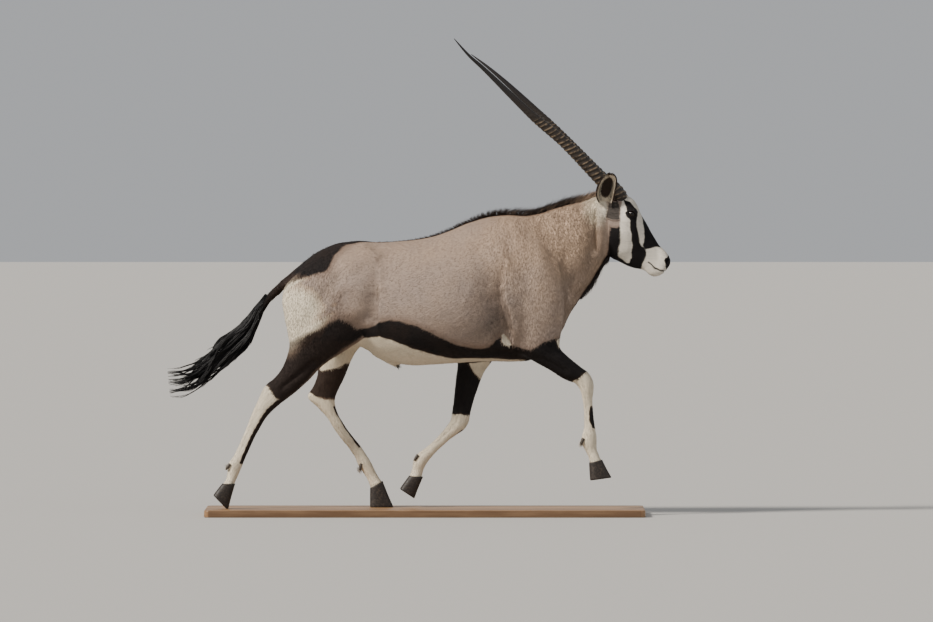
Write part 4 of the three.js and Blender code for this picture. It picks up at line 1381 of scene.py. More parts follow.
    @staticmethod
    def comb(skin: Surface, way: Array, edges: Array) -> Array:
        """Lays the hair's direction on the skin, with the swirls of neck and shoulder.

        Args:
            skin: The skin's vertices.
            way: The rough direction at each of them.
            edges: The mesh's edges.

        Returns:
            The direction along the skin at each vertex.
        """
        points, normals, names = skin.points, skin.normals, skin.names
        way = unit(way)
        beside = ease(np.abs(normals[:, 1]), 0.25, 0.8)
        way[:, 2] -= 0.45 * (names == "torso") * beside
        steep = (names == "neck") + (names == "torso") * ease(points[:, 0], 0.12, 0.42)
        share = (0.85 * steep * beside)[:, None]
        way = way * (1 - share) + np.array([0.42, 0, -1]) * share
        way = relax(way, edges, 0.5, 14)
        way = unit(way - normals * (way * normals).sum(1, keepdims=True))
        swirl = skin.on("neck", "torso", "fore_right", "fore_left")
        reach = ease(points[:, 0], 0.1, 0.5) * swirl * ease(points[:, 2], 0.7, 0.85)
        turn = (0.04 + 0.05 * reach) * ripple(points, 0.11, 21) + (0.03 + 0.03 * reach) * ripple(points,
            0.035, 22)
        across = np.cross(normals, way)
        return unit(way * np.cos(turn)[:, None] + across * np.sin(turn)[:, None])

    def write_pieces(self, mesh: Mesh, points: Array, names: Array) -> None:
        """Numbers the coat piece that each face belongs to.

        Args:
            mesh: The skin's mesh.
            points: Its vertices.
            names: The form that each vertex belongs to.
        """
        piece = np.zeros(len(points), np.int32)
        for i, (_, zones, side, _) in enumerate(COAT_PIECES):
            here = np.isin(names, zones)
            if side is not None:
                here &= points[:, 1] * side.value >= 0
            piece[here] = i
        first = read(mesh.polygons, "loop_start")[:, 0]
        made = mesh.attributes.new("piece", "INT", "FACE")
        made.data.foreach_set("value", piece[read(mesh.loops, "vertex_index")[first, 0]])


class Muzzle:
    """Nostrils, mouth and lips of the head, in millimetres."""

    MOUTH = ((916, 1037), (930, 1026), (944, 1014), (962, 1005), (984, 1001), (1004, 1000))
    NOSTRIL = (992, 1046)
    NOSTRIL_TILT = 1.0
    NOSTRIL_HALF = (13.5, 6.2)

    @classmethod
    def slit(cls, places: Array) -> Array:
        """Measures places across a nostril, 1 at its rim.

        Args:
            places: The points seen from the side, in millimetres.

        Returns:
            The measure of each place.
        """
        away = places - cls.NOSTRIL
        cos, sin = math.cos(cls.NOSTRIL_TILT), math.sin(cls.NOSTRIL_TILT)
        long = away[:, 0] * cos + away[:, 1] * sin
        high = -away[:, 0] * sin + away[:, 1] * cos + 0.035 * long**2
        return np.hypot(long / cls.NOSTRIL_HALF[0], high / cls.NOSTRIL_HALF[1])

    @classmethod
    def shape(cls, points: Array, normals: Array) -> Array:
        """Shapes the muzzle.

        Args:
            points: Places in metres.
            normals: Outward directions.

        Returns:
            How far each vertex moves, in metres.
        """
        places = flat(points)
        near = (points[:, 0] > 0.9) & (points[:, 2] < 1.12)
        mouth = line_place(places, cls.MOUTH)[0]
        crease = -4.2 * bell(mouth, 2.1)
        lips = 1.8 * bell(mouth - 6.5, 4.5) + 1.2 * bell(mouth + 6.0, 5.0)
        start = ease(places[:, 0], 908, 922)
        slit = cls.slit(places)
        faces = ease(np.abs(normals[:, 1]), 0.15, 0.45)
        hole = -8.5 * fade(slit, 0.45, 1.0) * faces
        rim = 2.0 * bell(slit - 1.35, 0.32) * faces
        middle = -1.4 * bell(points[:, 1] / MM, 3.0) * ease(places[:, 0], 985, 1000)
        rise = np.where(near, (crease + lips) * start + hole + rim + middle, 0)
        return normals * (rise * MM)[:, None]


def paint(skin: Surface) -> tuple[Array, Array]:
    """Works out the dark and white markings.

    Args:
        skin: The skin's vertices.

    Returns:
        How deep each point lies in the dark and in the white, about -40 to 40.
    """
    points, normals, names = skin.points, skin.normals, skin.names
    depth = {ink: np.full(len(points), -DEEPEST) for ink in Ink}
    across = points[:, 1] / MM
    places = flat(points) + np.stack([ripple(points, 0.03, 31), ripple(points, 0.03, 32)], 1) * 1.6
    x, z = places.T
    for mark in MARKINGS:
        here = np.isin(names, mark.zones)
        if mark.side is not None:
            here &= skin.beside(mark.side)
        if mark.inner:
            here &= normals[:, 1] * mark.side.value < 0.1
        inside = outline_depth(places[here], mark.outline) * 6 / mark.edge
        other = depth[WHITE if mark.ink is DARK else DARK]
        depth[mark.ink][here] = np.maximum(depth[mark.ink][here], inside)
        other[here] = np.minimum(other[here], -inside)
    dark, white = depth[DARK], depth[WHITE]
    dark[names == "dock"], white[names == "dock"] = 30, -DEEPEST
    back = skin.on("torso", "neck") & (normals[:, 2] > 0.2)
    half = np.interp(x, [-300, -200, 100, 300, 420, 640, 720], [60, 18, 15, 15, 18, 13, 5])
    dark = np.maximum(dark, np.where(back, half - np.abs(across), -DEEPEST))
    throat = (names == "neck") & (normals[:, 0] > 0.05)
    line = np.interp(z, [700, 860, 960, 1050], [9, 13, 20, 24])
    dark = np.maximum(dark, np.where(throat, line - np.abs(across), -DEEPEST))
    breast = (names == "torso") & (normals[:, 2] < 0.1) & (x > 380)
    dark = np.maximum(dark, np.where(breast, 9 - np.abs(across), -DEEPEST))
    nostril = (1.62 - Muzzle.slit(places)) * 9
    pad = 25 * (1 - np.abs(across / 36) ** 2.6 - np.abs((z - 1036) / 31) ** 2.6)
    nostril = np.maximum(nostril, np.minimum(x - 985, pad))
    front = (points[:, 0] > 0.95) & (names == "head")
    dark = np.maximum(dark, np.where(front, nostril, -DEEPEST))
    mouth = 3.1 - line_distance(places, Muzzle.MOUTH)
    dark = np.maximum(dark, np.where((names == "head") & (x > 910), mouth, -DEEPEST))
    eye = 25 - np.hypot(x - EYE.x, (z - EYE.z) * 1.25)
    dark = np.maximum(dark, np.where(names == "head", eye, -DEEPEST))
    thigh = skin.on("hind_right", "hind_left")
    within = np.minimum(-normals[:, 1] * np.sign(across) - 0.2, (z - 625) / 70) * 22
    white[thigh] = np.maximum(white, within)[thigh]
    dark[thigh] = np.minimum(dark, -within)[thigh]
    border = (dark > -7) & (white > -7) & (names != "ear")
    white[border] += 3.0
    # Painted shadow of the ear: the temple is painted grey and darker over its own grey.
    shade = ease(outline_depth(places, TEMPLE), -3, 5) * (names == "head")
    white += shade * (-1.2 - white)
    dark += shade * (1.1 - dark)
    jowl = ease(x, 590, 700) * ease(z, 1120, 1240) * fade(x, 728, 760)
    white = np.maximum(white, np.where(skin.on("neck", "head") & (x < 764), 5.4 * jowl - 4.4, -DEEPEST))
    gaskin = (names == "hind_right") * ease(-x, 440, 545) * ease(z, 545, 680)
    dark = np.where(dark > 0, dark * (1 - gaskin) + 0.5 * gaskin, dark)
    for side in Side:
        run, wide, _, _ = EAR.locate(points, side)
        here = (names == "ear") & skin.beside(side)
        inside = here & (normals @ EAR.frame(side)[3] > 0.15)
        edge = np.maximum(np.abs(wide) / EAR.half(run), ease(run, 0.3, 1.0) * run**2 * 0.97)
        back = np.maximum((run - 0.74) * 60, (edge - 0.8) * 40)
        dark[here] = np.maximum(back, (0.2 - run) * 40)[here]
        white[here] = -6
        # Inside the cup the pale hair is held to a grey half mix, a painted shade over the white hair, and
        # the middle of the cup is dark.
        hole = np.hypot(wide / (0.67 * EAR.half(run)), (run - 0.55) / 0.33)
        dark[inside] = np.maximum((1 - hole) * 26, (edge - 0.87) * 120)[inside]
        white[inside] = np.minimum((hole - 0.95) * 20, 0.7)[inside]
    return np.clip(dark, -DEEPEST, DEEPEST), np.clip(white, -DEEPEST, DEEPEST)


def warmth(skin: Surface) -> Array:
    """Gives how tan, rather than grey, the fawn is at each vertex.

    Args:
        skin: The skin.

    Returns:
        A share for each vertex.
    """
    x, y, z = skin.points.T
    value = 0.2 + 0.55 * (ease(x, 0.1, 0.5) * ease(z, 0.75, 1.05)) + 0.25 * ease(z, 0.95, 1.12)
    value = value + 0.12 * ripple(skin.points, 0.16, 41) + 0.08 * ripple(skin.points, 0.05, 42)
    value = np.where(skin.on("hind_right", "hind_left") & (z < 0.72), np.where(y > 0, 0.95, 0.55), value)
    value = np.where(skin.on("fore_right", "fore_left") & (z < 0.7), 0.15, value)
    # The temple is grey rather than tan: painted shade under the ear.
    head = np.where((x < 0.806) & (x > 0.738) & (z > 1.2), 0.0, 0.12) + 0.5 * fade(x, 0.735, 0.765)
    value = np.where(skin.on("head"), head, value)
    return np.clip(np.where(skin.on("dock"), 0.75 - 0.6 * ease(-x, 0.6, 0.68), value), 0, 1)


def brindling(skin: Surface) -> Array:
    """Gives how strongly pale and dark hair are streaked at each vertex."""
    strength = 0.055 + 0.11 * (ease(skin.points[:, 0], 0.05, 0.5) * ease(skin.points[:, 2], 0.72, 0.95))
    return np.where(skin.on("head", "ear"), 0.05, strength)


def hair_length(skin: Surface) -> Array:
    """Gives the length of the tufts at each vertex, in metres.

    Args:
        skin: The skin.

    Returns:
        A length for each vertex.
    """
    x, _, z = skin.points.T
    length = 11.5 + 6 * ease(x, 0.15, 0.5)
    length = np.where(skin.on("head"), 5.2 + 6 * fade(x, *HEAD_HAIR_FROM), length)
    length = np.where(skin.on(*LIMBS), np.interp(z, [0.1, 0.5, 0.75], [7.5, 9.5, 14]), length)
    length = np.where(skin.on("ear"), 7.5 + 3 * skin.ears, length)
    for zone, longest in HAIR_LENGTHS.items():
        length[skin.on(zone)] = longest
    return length * MM


def crowding(skin: Surface) -> Array:
    """Gives how many tufts grow on a square metre at each vertex.

    Args:
        skin: The skin.

    Returns:
        A number for each vertex.
    """
    x, _, z = skin.points.T
    rear, fore = TUFTS_OF_BODY
    crowd = rear + (fore - rear) * ease(x, 0.15, 0.5)
    face, poll = TUFTS_OF_HEAD
    crowd = np.where(skin.on("head"), face - (face - poll) * fade(x, *HEAD_HAIR_FROM), crowd)
    crowd = np.where(skin.on(*LIMBS), np.interp(z, *TUFTS_OF_LEGS), crowd)
    for zone, number in TUFTS.items():
        crowd[skin.on(zone)] = number
    places = flat(skin.points)
    bare = np.hypot(places[:, 0] - EYE.x, places[:, 1] - EYE.z) < 17
    lips = (Muzzle.slit(places) < 1.25) | (line_distance(places, Muzzle.MOUTH) < 3)
    crowd[skin.on("head") & (bare | (places[:, 0] > 900) & lips)] = 0
    return crowd


HEAD_HAIR_FROM = (0.74, 0.82)
HAIR_LENGTHS = {"dock": 17.0, "sheath": 13.0}
TUFTS_OF_BODY = (22500, 31500)
TUFTS_OF_HEAD = (162000, 114000)
TUFTS_OF_LEGS = ((0.1, 0.5, 0.8), (56000, 42000, 24000))
TUFTS = {"neck": 50000.0, "ear": 100000.0, "dock": 52000.0}
COAT_PIECES = (
    ("coat_torso_right", ("torso", "sheath"), Side.RIGHT, Slot.BODY),
    ("coat_torso_left", ("torso", "sheath"), Side.LEFT, Slot.BODY),
    ("coat_neck_right", ("neck",), Side.RIGHT, Slot.BODY),
    ("coat_neck_left", ("neck",), Side.LEFT, Slot.BODY),
    ("coat_head_right", ("head", "ear"), Side.RIGHT, Slot.FACE),
    ("coat_head_left", ("head", "ear"), Side.LEFT, Slot.FACE),
    ("coat_fore_right", ("fore_right",), None, Slot.LEG),
    ("coat_fore_left", ("fore_left",), None, Slot.LEG),
    ("coat_hind_right", ("hind_right",), None, Slot.LEG),
    ("coat_hind_left", ("hind_left",), None, Slot.LEG),
    ("coat_dock", ("dock",), None, Slot.TAIL),
)
KEPT_VALUES = ("position", "OFBake", "dark", "white", "warm", "tone", "tip", "lay", "material_index",
    "sharp_face")


def shed_values(mesh: Mesh) -> None:
    """Drops the attributes that only the making of a coat piece needed."""
    for name in [a.name for a in mesh.attributes if not a.name.startswith(".")]:
        if name not in KEPT_VALUES:
            mesh.attributes.remove(mesh.attributes[name])
    if "OFBake" in mesh.uv_layers:
        mesh.uv_layers.active = mesh.uv_layers["OFBake"]


@dataclass
class Coat:
    """The short coat: flat tapered tufts that lie along the skin."""

    seed: int = 7
    lift: float = 0.078
    patch: float = 0.003
    slim: float = 0.055
    least: float = 0.0009
    sizes: tuple[float, float] = (0.7, 1.25)

    def tuft(self) -> Object:
        """Makes the one tuft that all are turned and scaled from, a unit long along +Y.

        Returns:
            The tuft.
        """
        points = np.array([(-0.4, 0, -0.9), (0.4, 0, -0.9), (0, 0, -0.3), (-0.5, 0.5, 0.62),
            (0.5, 0.5, 0.62), (0, 0.5, 0.95), (0, 1, 1.0)])
        faces = [(0, 1, 2), (0, 1, 4, 3), (1, 2, 5, 4), (2, 0, 3, 5), (3, 4, 6), (4, 5, 6), (5, 3, 6)]
        made = make_mesh("tuft", points, faces)
        patch = np.stack([points[:, 0] + 0.5, points[:, 1], 0 * points[:, 0]], 1)
        set_attributes(made.data, tip=points[:, 1], patch=patch)
        made.hide_render = True
        return made

    def tree(self) -> Tree:
        """Builds the geometry tree that sows, turns and scales the tufts.

        Returns:
            The tree, with the coat's sizes as named inputs.
        """
        graph = Graph.group("Coat tufts", "Geometry", {"Skin": "Geometry", "Tuft": "Object", "Piece": "Int",
            "Seed": "Int", "Lift": "Float", "Patch": "Float", "Material": "Material"}, {"Coat": "Geometry"})
        given = graph.given
        chosen = graph.put("FunctionNodeCompare", {"A": graph.named("piece", "INT"), "B": given["Piece"]},
            data_type="INT", operation="EQUAL")
        points = graph.put("GeometryNodeDistributePointsOnFaces",
            {"Mesh": given["Skin"], "Selection": chosen, "Density": graph.named("crowd"),
            "Seed": given["Seed"]})
        normal = points.node.outputs["Normal"]
        axes = {"Primary Axis": normal, "Secondary Axis": graph.named("flow", "FLOAT_VECTOR")}
        aim = graph.put("FunctionNodeAxesToRotation", axes, primary_axis="Z", secondary_axis="Y")
        sway = graph.random((-0.02, -0.05, -0.10), (0.05, 0.05, 0.10), 1, "FLOAT_VECTOR")
        sway = graph.put("FunctionNodeEulerToRotation", {"Euler": sway})
        aim = graph.put("FunctionNodeRotateRotation", {"Rotation": aim, "Rotate By": sway},
            rotation_space="LOCAL")
        long = graph.math("MULTIPLY", graph.named("hair"), graph.random(*self.sizes, 2))
        wide = graph.math("MULTIPLY_ADD", long, self.slim, self.least)
        high = graph.math("MULTIPLY", long, given["Lift"])
        scale = graph.put("ShaderNodeCombineXYZ", {"X": wide, "Y": long, "Z": high})
        tone = graph.math("MULTIPLY_ADD", graph.random(-0.5, 0.5, 3), graph.named("vary"), 0.5)
        # Each tuft's tone takes in the skin's streaks and the painted shade of the hollows.
        points = graph.store(points, "tone", graph.math("ADD", tone, graph.named("mottle")))
        points = graph.store(points, "lay", normal, "FLOAT_VECTOR")
        tuft = graph.put("GeometryNodeObjectInfo", {"Object": given["Tuft"]}, "Geometry")
        sown = graph.put("GeometryNodeInstanceOnPoints", {"Points": points, "Instance": tuft,
            "Rotation": aim, "Scale": scale})
        real = graph.put("GeometryNodeRealizeInstances", {"Geometry": sown})
        patch = graph.vector("SCALE", graph.named("patch", "FLOAT_VECTOR"), given["Patch"])
        place = graph.vector("ADD", graph.named("chart", "FLOAT_VECTOR"), patch)
        return graph.finish(graph.store(real, "OFBake", place, "FLOAT2", "CORNER"))

    def build(self, skin: Object, material: Material) -> None:
        """Sows every coat piece on the skin.

        Args:
            skin: The skin, with its attributes.
            material: The tufts' material.
        """
        tuft, tree = self.tuft(), self.tree()
        for i, (name, _, _, slot) in enumerate(COAT_PIECES):
            values = {"Tuft": tuft, "Piece": i, "Seed": self.seed + i, "Lift": self.lift,
                "Patch": self.patch, "Material": material}
            piece = run_tree(skin, tree, values, name)
            shed_values(piece.data)
            settle(piece, slot)
        bpy.data.objects.remove(tuft)


@dataclass
class LongHair:
    """Strands that stand free of the coat: mane, throat tuft, tail, lashes and fringes."""

    material: Material
    sides: int = 3
    patch: float = 0.003

    def __post_init__(self) -> None:
        """Builds the geometry tree that gives each guide line its body."""
        graph = Graph.group("Long hair", "Geometry", {"Guides": "Geometry", "Sides": "Int",
            "Material": "Material"}, {"Hair": "Geometry"})
        lines = graph.put("GeometryNodeMeshToCurve", {"Mesh": graph.given["Guides"]})
        body = graph.sweep(lines, graph.given["Sides"], "thick")
        reach = graph.math("MULTIPLY", graph.named("tip"), self.patch)
        patch = graph.put("ShaderNodeCombineXYZ", {"X": 0.0, "Y": reach})
        place = graph.vector("ADD", graph.named("chart", "FLOAT_VECTOR"), patch)
        self.tree = graph.finish(graph.store(body, "OFBake", place, "FLOAT2", "CORNER"))

    def grow(self, name: str, slot: Slot, paths: Array, girth: tuple[float, float], looks: dict[str, Array],
            chart: Array, *nodes: str) -> None:
        """Grows strands along guide lines and fixes them as one piece.

        Args:
            name: The piece's name.
            slot: The piece's material slot.
            paths: Guide lines as [strand, point, axis], in metres.
            girth: The radius at root and tip, in millimetres.
            looks: The dark, white, warm and tone values of each strand.
            chart: The place of each root on the unwrap, as [strand, 2].
            *nodes: The solids that the piece stands for.
        """
        count, length = paths.shape[:2]
        mesh = bpy.data.meshes.new("guides")
        mesh.vertices.add(count * length)
        set_points(mesh, paths)
        starts = (np.arange(count)[:, None] * length + np.arange(length - 1)[None]).ravel()
        mesh.edges.add(len(starts))
        mesh.edges.foreach_set("vertices", np.stack([starts, starts + 1], 1).astype(np.int32).ravel())
        run = np.tile(np.linspace(0, 1, length), count)
        spots = np.concatenate([chart, np.zeros((count, 1))], 1)
        looks = {key: np.repeat(values, length) for key, values in looks.items()}
        thick = (girth[1] + (girth[0] - girth[1]) * (1 - run**1.6)) * MM
        set_attributes(mesh, thick=thick, tip=run, chart=np.repeat(spots, length, axis=0), **looks)
        guides = place_mesh("guides", mesh)
        piece = run_tree(guides, self.tree, {"Sides": self.sides, "Material": self.material}, name)
        bpy.data.objects.remove(guides)
        shed_values(piece.data)
        shade_smooth(piece.data)
        settle(piece, slot, *nodes)


def tints(draw: np.random.Generator, count: int, dark: Array | float, white: float,
        warm: float = 0.6) -> dict[str, Array]:
    """Gives strands their colours, with a seeded variation of tone."""
    tone = draw.uniform(0, 1, count)
    return {"dark": np.full(count, dark), "white": np.full(count, white), "warm": np.full(count, warm),
        "tone": tone}


def bundle(roots: Array, ways: Array, lengths: Array, droop: Array, points: int) -> Array:
    """Lays guide lines from roots along directions, bending as they go.

    Args:
        roots: Where each strand starts, in metres.
        ways: The direction that each sets out in.
        lengths: The length of each, in metres.
        droop: What each direction turns by on the way to its tip.
        points: Points in each line.

    Returns:
        The lines as [strand, point, axis].
    """
    run = np.linspace(0, 1, points)[None, :, None]
    reach = lengths[:, None, None]
    return roots[:, None] + ways[:, None] * reach * run + droop[:, None] * reach * run**2


@dataclass
class Mane:
    """The short upright mane from the withers to the poll."""

    crest: Rows = ((-500, 1034), (-440, 1078), (-360, 1112), (-270, 1124), (-190, 1120), (-95, 1125),
        (0, 1137), (90, 1163), (175, 1199), (250, 1223), (300, 1230), (350, 1234), (425, 1233), (485, 1247),
        (545, 1265), (600, 1278), (650, 1290), (704, 1308))
    strands: int = 5400
    points: int = 5
    height: float = 58.0
    half: float = 8.0
    girth: tuple[float, float] = (0.75, 0.12)
    seed: int = 51

    def build(self, hair: LongHair) -> None:
        """Grows the mane.

        Args:
            hair: What holds and grows the strands.
        """
        draw = np.random.default_rng(self.seed)
        share = draw.uniform(0, 1, self.strands) ** 0.62
        line = along_row(self.crest, share)
        place = line[:, 0]
        wide = np.interp(place, [100, 350], [1.6, 1.0])
        side = draw.normal(0, 0.42, self.strands) * self.half * wide
        roots = np.stack([place, side, line[:, 1] - 7 - 0.03 * side**2], 1) * MM
        wave = place * 0.42 + 2 * np.sin(place * 0.09)
        clump = np.sin(wave)
        lean = np.interp(place, [-500, 180, 380], [-2.2, -1.5, 0.6])
        ways = unit(np.stack([lean + 0.24 * clump + draw.normal(0, 0.16, self.strands),
            side / 42 + draw.normal(0, 0.09, self.strands), np.ones(self.strands)], 1))
        swell = np.interp(place, [-500, -100, 60, 200, 330, 420, 530, 600, 704],
            [0.22, 0.27, 0.37, 0.52, 0.54, 0.74, 0.98, 0.88, 0.86])
        swell = swell * (0.83 + 0.3 * np.sin(wave + 0.8))
        lengths = (self.height * swell + 7) * draw.uniform(0.7, 1.12, self.strands) * MM
        droop = np.stack([0.22 + 0.2 * clump, side / 60, -0.1 * np.ones(self.strands)], 1)
        paths = bundle(roots, ways, lengths, droop, self.points)
        chart = np.stack([0.02 + 0.95 * share, 0.5 + side / 60], 1)
        dark = np.interp(place, [560, 610, 640, 655, 667, 680, 704], [20, 8, -7, -6, 9, -8, -12])
        dark = dark + draw.normal(0, 5, self.strands) - np.where((np.abs(side) > 5.5) & (place > 330), 16, 0)
        hair.grow("mane", Slot.TAIL, paths, self.girth, tints(draw, self.strands, dark, -20, 0.85), chart)


@dataclass
class Beard:
    """The black tuft that hangs along the throat."""

    throat: Rows = ((764, 1068), (744, 1052), (722, 1012), (700, 972), (676, 938), (650, 902))
    strands: int = 1500
    points: int = 7
    length: float = 58.0
    girth: tuple[float, float] = (0.8, 0.12)
    seed: int = 52

    def build(self, hair: LongHair) -> None:
        """Grows the throat tuft.

        Args:
            hair: What holds and grows the strands.
        """
        draw = np.random.default_rng(self.seed)
        share = draw.uniform(0, 1, self.strands)
        line = along_row(self.throat, share)
        side = draw.normal(0, 11, self.strands)
        roots = np.stack([line[:, 0] - 5, side, line[:, 1] + 4], 1) * MM
        clump = np.sin(share * 38 + side * 0.35)
        ways = unit(np.stack([-0.16 + 0.12 * clump + draw.normal(0, 0.1, self.strands),
            side / 60 + draw.normal(0, 0.1, self.strands), -np.ones(self.strands)], 1))
        swell = np.interp(share, [0, 0.2, 0.5, 0.8, 1], [0.75, 0.8, 1.1, 0.8, 0.35]) + 0.1 * clump
        lengths = self.length * swell * draw.uniform(0.7, 1.15, self.strands) * MM
        droop = np.stack([-0.42 + 0.12 * clump, -side / 90, 0.1 * np.ones(self.strands)], 1)
        paths = bundle(roots, ways, lengths, droop, self.points)
        chart = np.stack([0.02 + 0.95 * share, np.clip(0.5 + side / 90, 0.02, 0.97)], 1)
        hair.grow("throat_tuft", Slot.TAIL, paths, self.girth, tints(draw, self.strands, 30, -20), chart)


@dataclass
class TailTuft:
    """The long black hair of the tail, gathered in wavy locks with loose tips."""

    line: Rows = ((-640, 900, 12), (-664, 866, 15), (-686, 836, 20), (-706, 796, 29), (-742, 745, 42),
        (-798, 689, 54), (-860, 631, 58), (-924, 580, 60), (-984, 556, 62), (-1052, 548, 70))
    strands: int = 3150
    locks: int = 84
    points: int = 11
    lock_size: float = 7.0
    girth: tuple[float, float] = (1.25, 0.15)
    tips: Row = (0.92, 0.2, -0.3, -0.8)
    seed: int = 53

    def build(self, hair: LongHair) -> None:
        """Grows the tail's hair.

        Args:
            hair: What holds and grows the strands.
        """
        draw = np.random.default_rng(self.seed)
        lock = draw.integers(0, self.locks, self.strands)
        lock_turn = draw.uniform(0, TURN, self.locks)
        lock_ring = np.sqrt(draw.uniform(0.02, 1, self.locks))
        lock_end = np.clip(draw.normal(0.86, 0.17, self.locks), 0.45, 1.0)
        lock_tip = draw.choice(self.tips, self.locks) + draw.normal(0, 0.1, self.locks)
        wave_phase = draw.uniform(0, TURN, (self.locks, 3))
        wave_size = draw.uniform(4.0, 10.0, self.locks)
        start = draw.uniform(0, 0.34, self.strands)
        end = np.clip(lock_end[lock] * draw.uniform(0.86, 1.02, self.strands), start + 0.2, 1.0)
        run = np.linspace(0, 1, self.points)[None]
        place = start[:, None] + (end - start)[:, None] * run
        x, z, half = np.moveaxis(along_row(self.line, place), -1, 0)
        ahead = along_row(self.line, np.minimum(place + 0.01, 1)) - along_row(self.line, place - 0.01)
        way = unit(ahead[..., :2])
        part = ease(place, 0.55, 0.95)
        up = (lock_ring * np.cos(lock_turn))[lock][:, None]
        out = (lock_ring * np.sin(lock_turn))[lock][:, None]
        up = up * (1 - 0.75 * part) + lock_tip[lock][:, None] * 0.75 * part
        turn = draw.uniform(0, TURN, self.strands)[:, None]
        ring = np.sqrt(draw.uniform(0, 1, self.strands))[:, None] * self.lock_size * (1 - 0.8 * run**1.5)
        swing = wave_size[lock][:, None] * ease(place, 0.2, 0.6)
        phase = wave_phase[lock]
        wave = np.sin(place * 15 + phase[:, :1]) + 0.5 * np.sin(place * 34 + phase[:, 1:2])
        shove = np.sin(place * 13 + phase[:, 2:])
        spread = up * half * 0.9 + swing * wave + ring * np.cos(turn)
        aside = out * half * 0.55 + swing * shove + ring * np.sin(turn)
        paths = np.stack([x - way[..., 1] * spread, aside, z + way[..., 0] * spread], -1) * MM
        chart = np.stack([0.02 + 0.9 * start, 0.02 + 0.95 * turn[:, 0] / TURN], 1)
        looks = tints(draw, self.strands, 36, -20, 0.0)
        hair.grow("tail_hair", Slot.TAIL, paths, self.girth, looks, chart, "tail_tuft")


@dataclass
class Fringes:
    """Lashes, the hair in the ears and the small tufts behind the fetlocks and at the sheath."""

    lashes: int = 46
    ear_strands: int = 520
    fetlock_strands: int = 150
    seed: int = 54
    tufts: Rows = ((640, 300, -94, -0.5, -0.85), (-36, 228, 76, -0.7, -0.7), (-806, 204, -88, -0.6, -0.8),
        (-268, 188, 78, -0.3, -0.95), (-114, 616, 0, 0.6, -0.6))

    def build(self, hair: LongHair) -> None:
        """Grows every fringe.

        Args:
            hair: What holds and grows the strands.
        """
        draw = np.random.default_rng(self.seed)
        self.grow_lashes(hair, draw)
        self.grow_ears(hair, draw)
        self.grow_fetlocks(hair, draw)

    def grow_lashes(self, hair: LongHair, draw: np.random.Generator) -> None:
        """Grows the upper lashes of both eyes.

        Args:
            hair: What holds and grows the strands.
            draw: The random draws.
        """
        for side in Side:
            turn = np.linspace(0.35, 2.7, self.lashes) + draw.normal(0, 0.03, self.lashes)
            long = EYE.half_long * 1.04 * np.cos(turn)
            high = EYE.half_high * 1.1 * np.sin(turn)
            bulge = np.sqrt(np.maximum(EYE.radius**2 - long**2 - high**2, 0)) + 1.5
            ahead, rise = EYE.turned(long, high, -1)
            roots = np.stack([EYE.x + ahead, side.value * (EYE.side + bulge), EYE.z + rise], 1) * MM
            ways = unit(np.stack([0.3 * np.cos(turn) + 0.25, side.value * np.ones(self.lashes),
                0 * turn - 0.1], 1))
            droop = np.tile((0.1, 0, 0.35), (self.lashes, 1))
            paths = bundle(roots, ways, draw.uniform(9, 14, self.lashes) * MM, droop, 4)
            chart = np.stack([0.2 + 0.5 * turn / math.pi, 0.5 + 0 * turn], 1)
            looks = tints(draw, self.lashes, 36, -20)
            hair.grow(f"lashes_{side.name.lower()}", Slot.FACE, paths, (0.35, 0.08), looks, chart)

    def grow_ears(self, hair: LongHair, draw: np.random.Generator) -> None:
        """Grows the pale hair that crosses the mouth of each ear.

        Args:
            hair: What holds and grows the strands.
            draw: The random draws.
        """
        for side in Side:
            root, up, wide, face = EAR.frame(side)
            count = self.ear_strands
            run = draw.uniform(0.12, 0.9, count)
            edge = draw.choice([-1, 1], count)
            half = edge * (EAR.half(run) * draw.uniform(0.72, 0.9, count) - EAR.wall) + EAR.swing(run)
            roots = root + ((EAR.length * run)[:, None] * up + half[:, None] * wide
                + draw.uniform(-8, -1, count)[:, None] * face) * MM
            ways = unit(-edge[:, None] * wide * 0.5 + face * draw.uniform(0.1, 0.5, count)[:, None] + up)
            lengths = draw.uniform(7, 15, count) * (1.1 - 0.4 * run) * MM
            droop = np.tile(up * 0.3, (count, 1))
            paths = bundle(roots, ways, lengths, droop, 4)
            # The ear hair is white held grey by a share of dark: painted shade over the white hair.
            looks = tints(draw, count, -0.4, 30)
            chart = np.stack([0.1 + 0.8 * run, 0.5 + 0.4 * edge], 1)
            hair.grow(f"ear_hair_{side.name.lower()}", Slot.FACE, paths, (0.42, 0.08), looks, chart)

    def grow_fetlocks(self, hair: LongHair, draw: np.random.Generator) -> None:
        """Grows a small dark tuft behind each fetlock and at the sheath.

        Args:
            hair: What holds and grows the strands.
            draw: The random draws.
        """
        each = self.fetlock_strands
        roots, ways, lengths = [], [], []
        for x, z, y, way_x, way_z in self.tufts:
            spread = draw.normal(0, 1, (each, 3)) * (4, 7, 5)
            roots.append((np.array([x, y, z]) + spread) * MM)
            ways.append(unit(np.array([way_x, 0, way_z]) + draw.normal(0, 0.16, (each, 3))))
            lengths.append(draw.uniform(6, 13, each) * MM)
        count = len(self.tufts) * each
        paths = bundle(*map(np.concatenate, (roots, ways, lengths)), np.tile((0, 0, -0.15), (count, 1)), 4)
        chart = np.stack([draw.uniform(0.05, 0.9, count), draw.uniform(0.05, 0.9, count)], 1)
        at_sheath = np.arange(count) >= count - each
        looks = tints(draw, count, np.where(at_sheath, 2.5, -0.6), 4, 0.0)
        hair.grow("fetlock_tufts", Slot.LEG, paths, (0.5, 0.1), looks, chart)


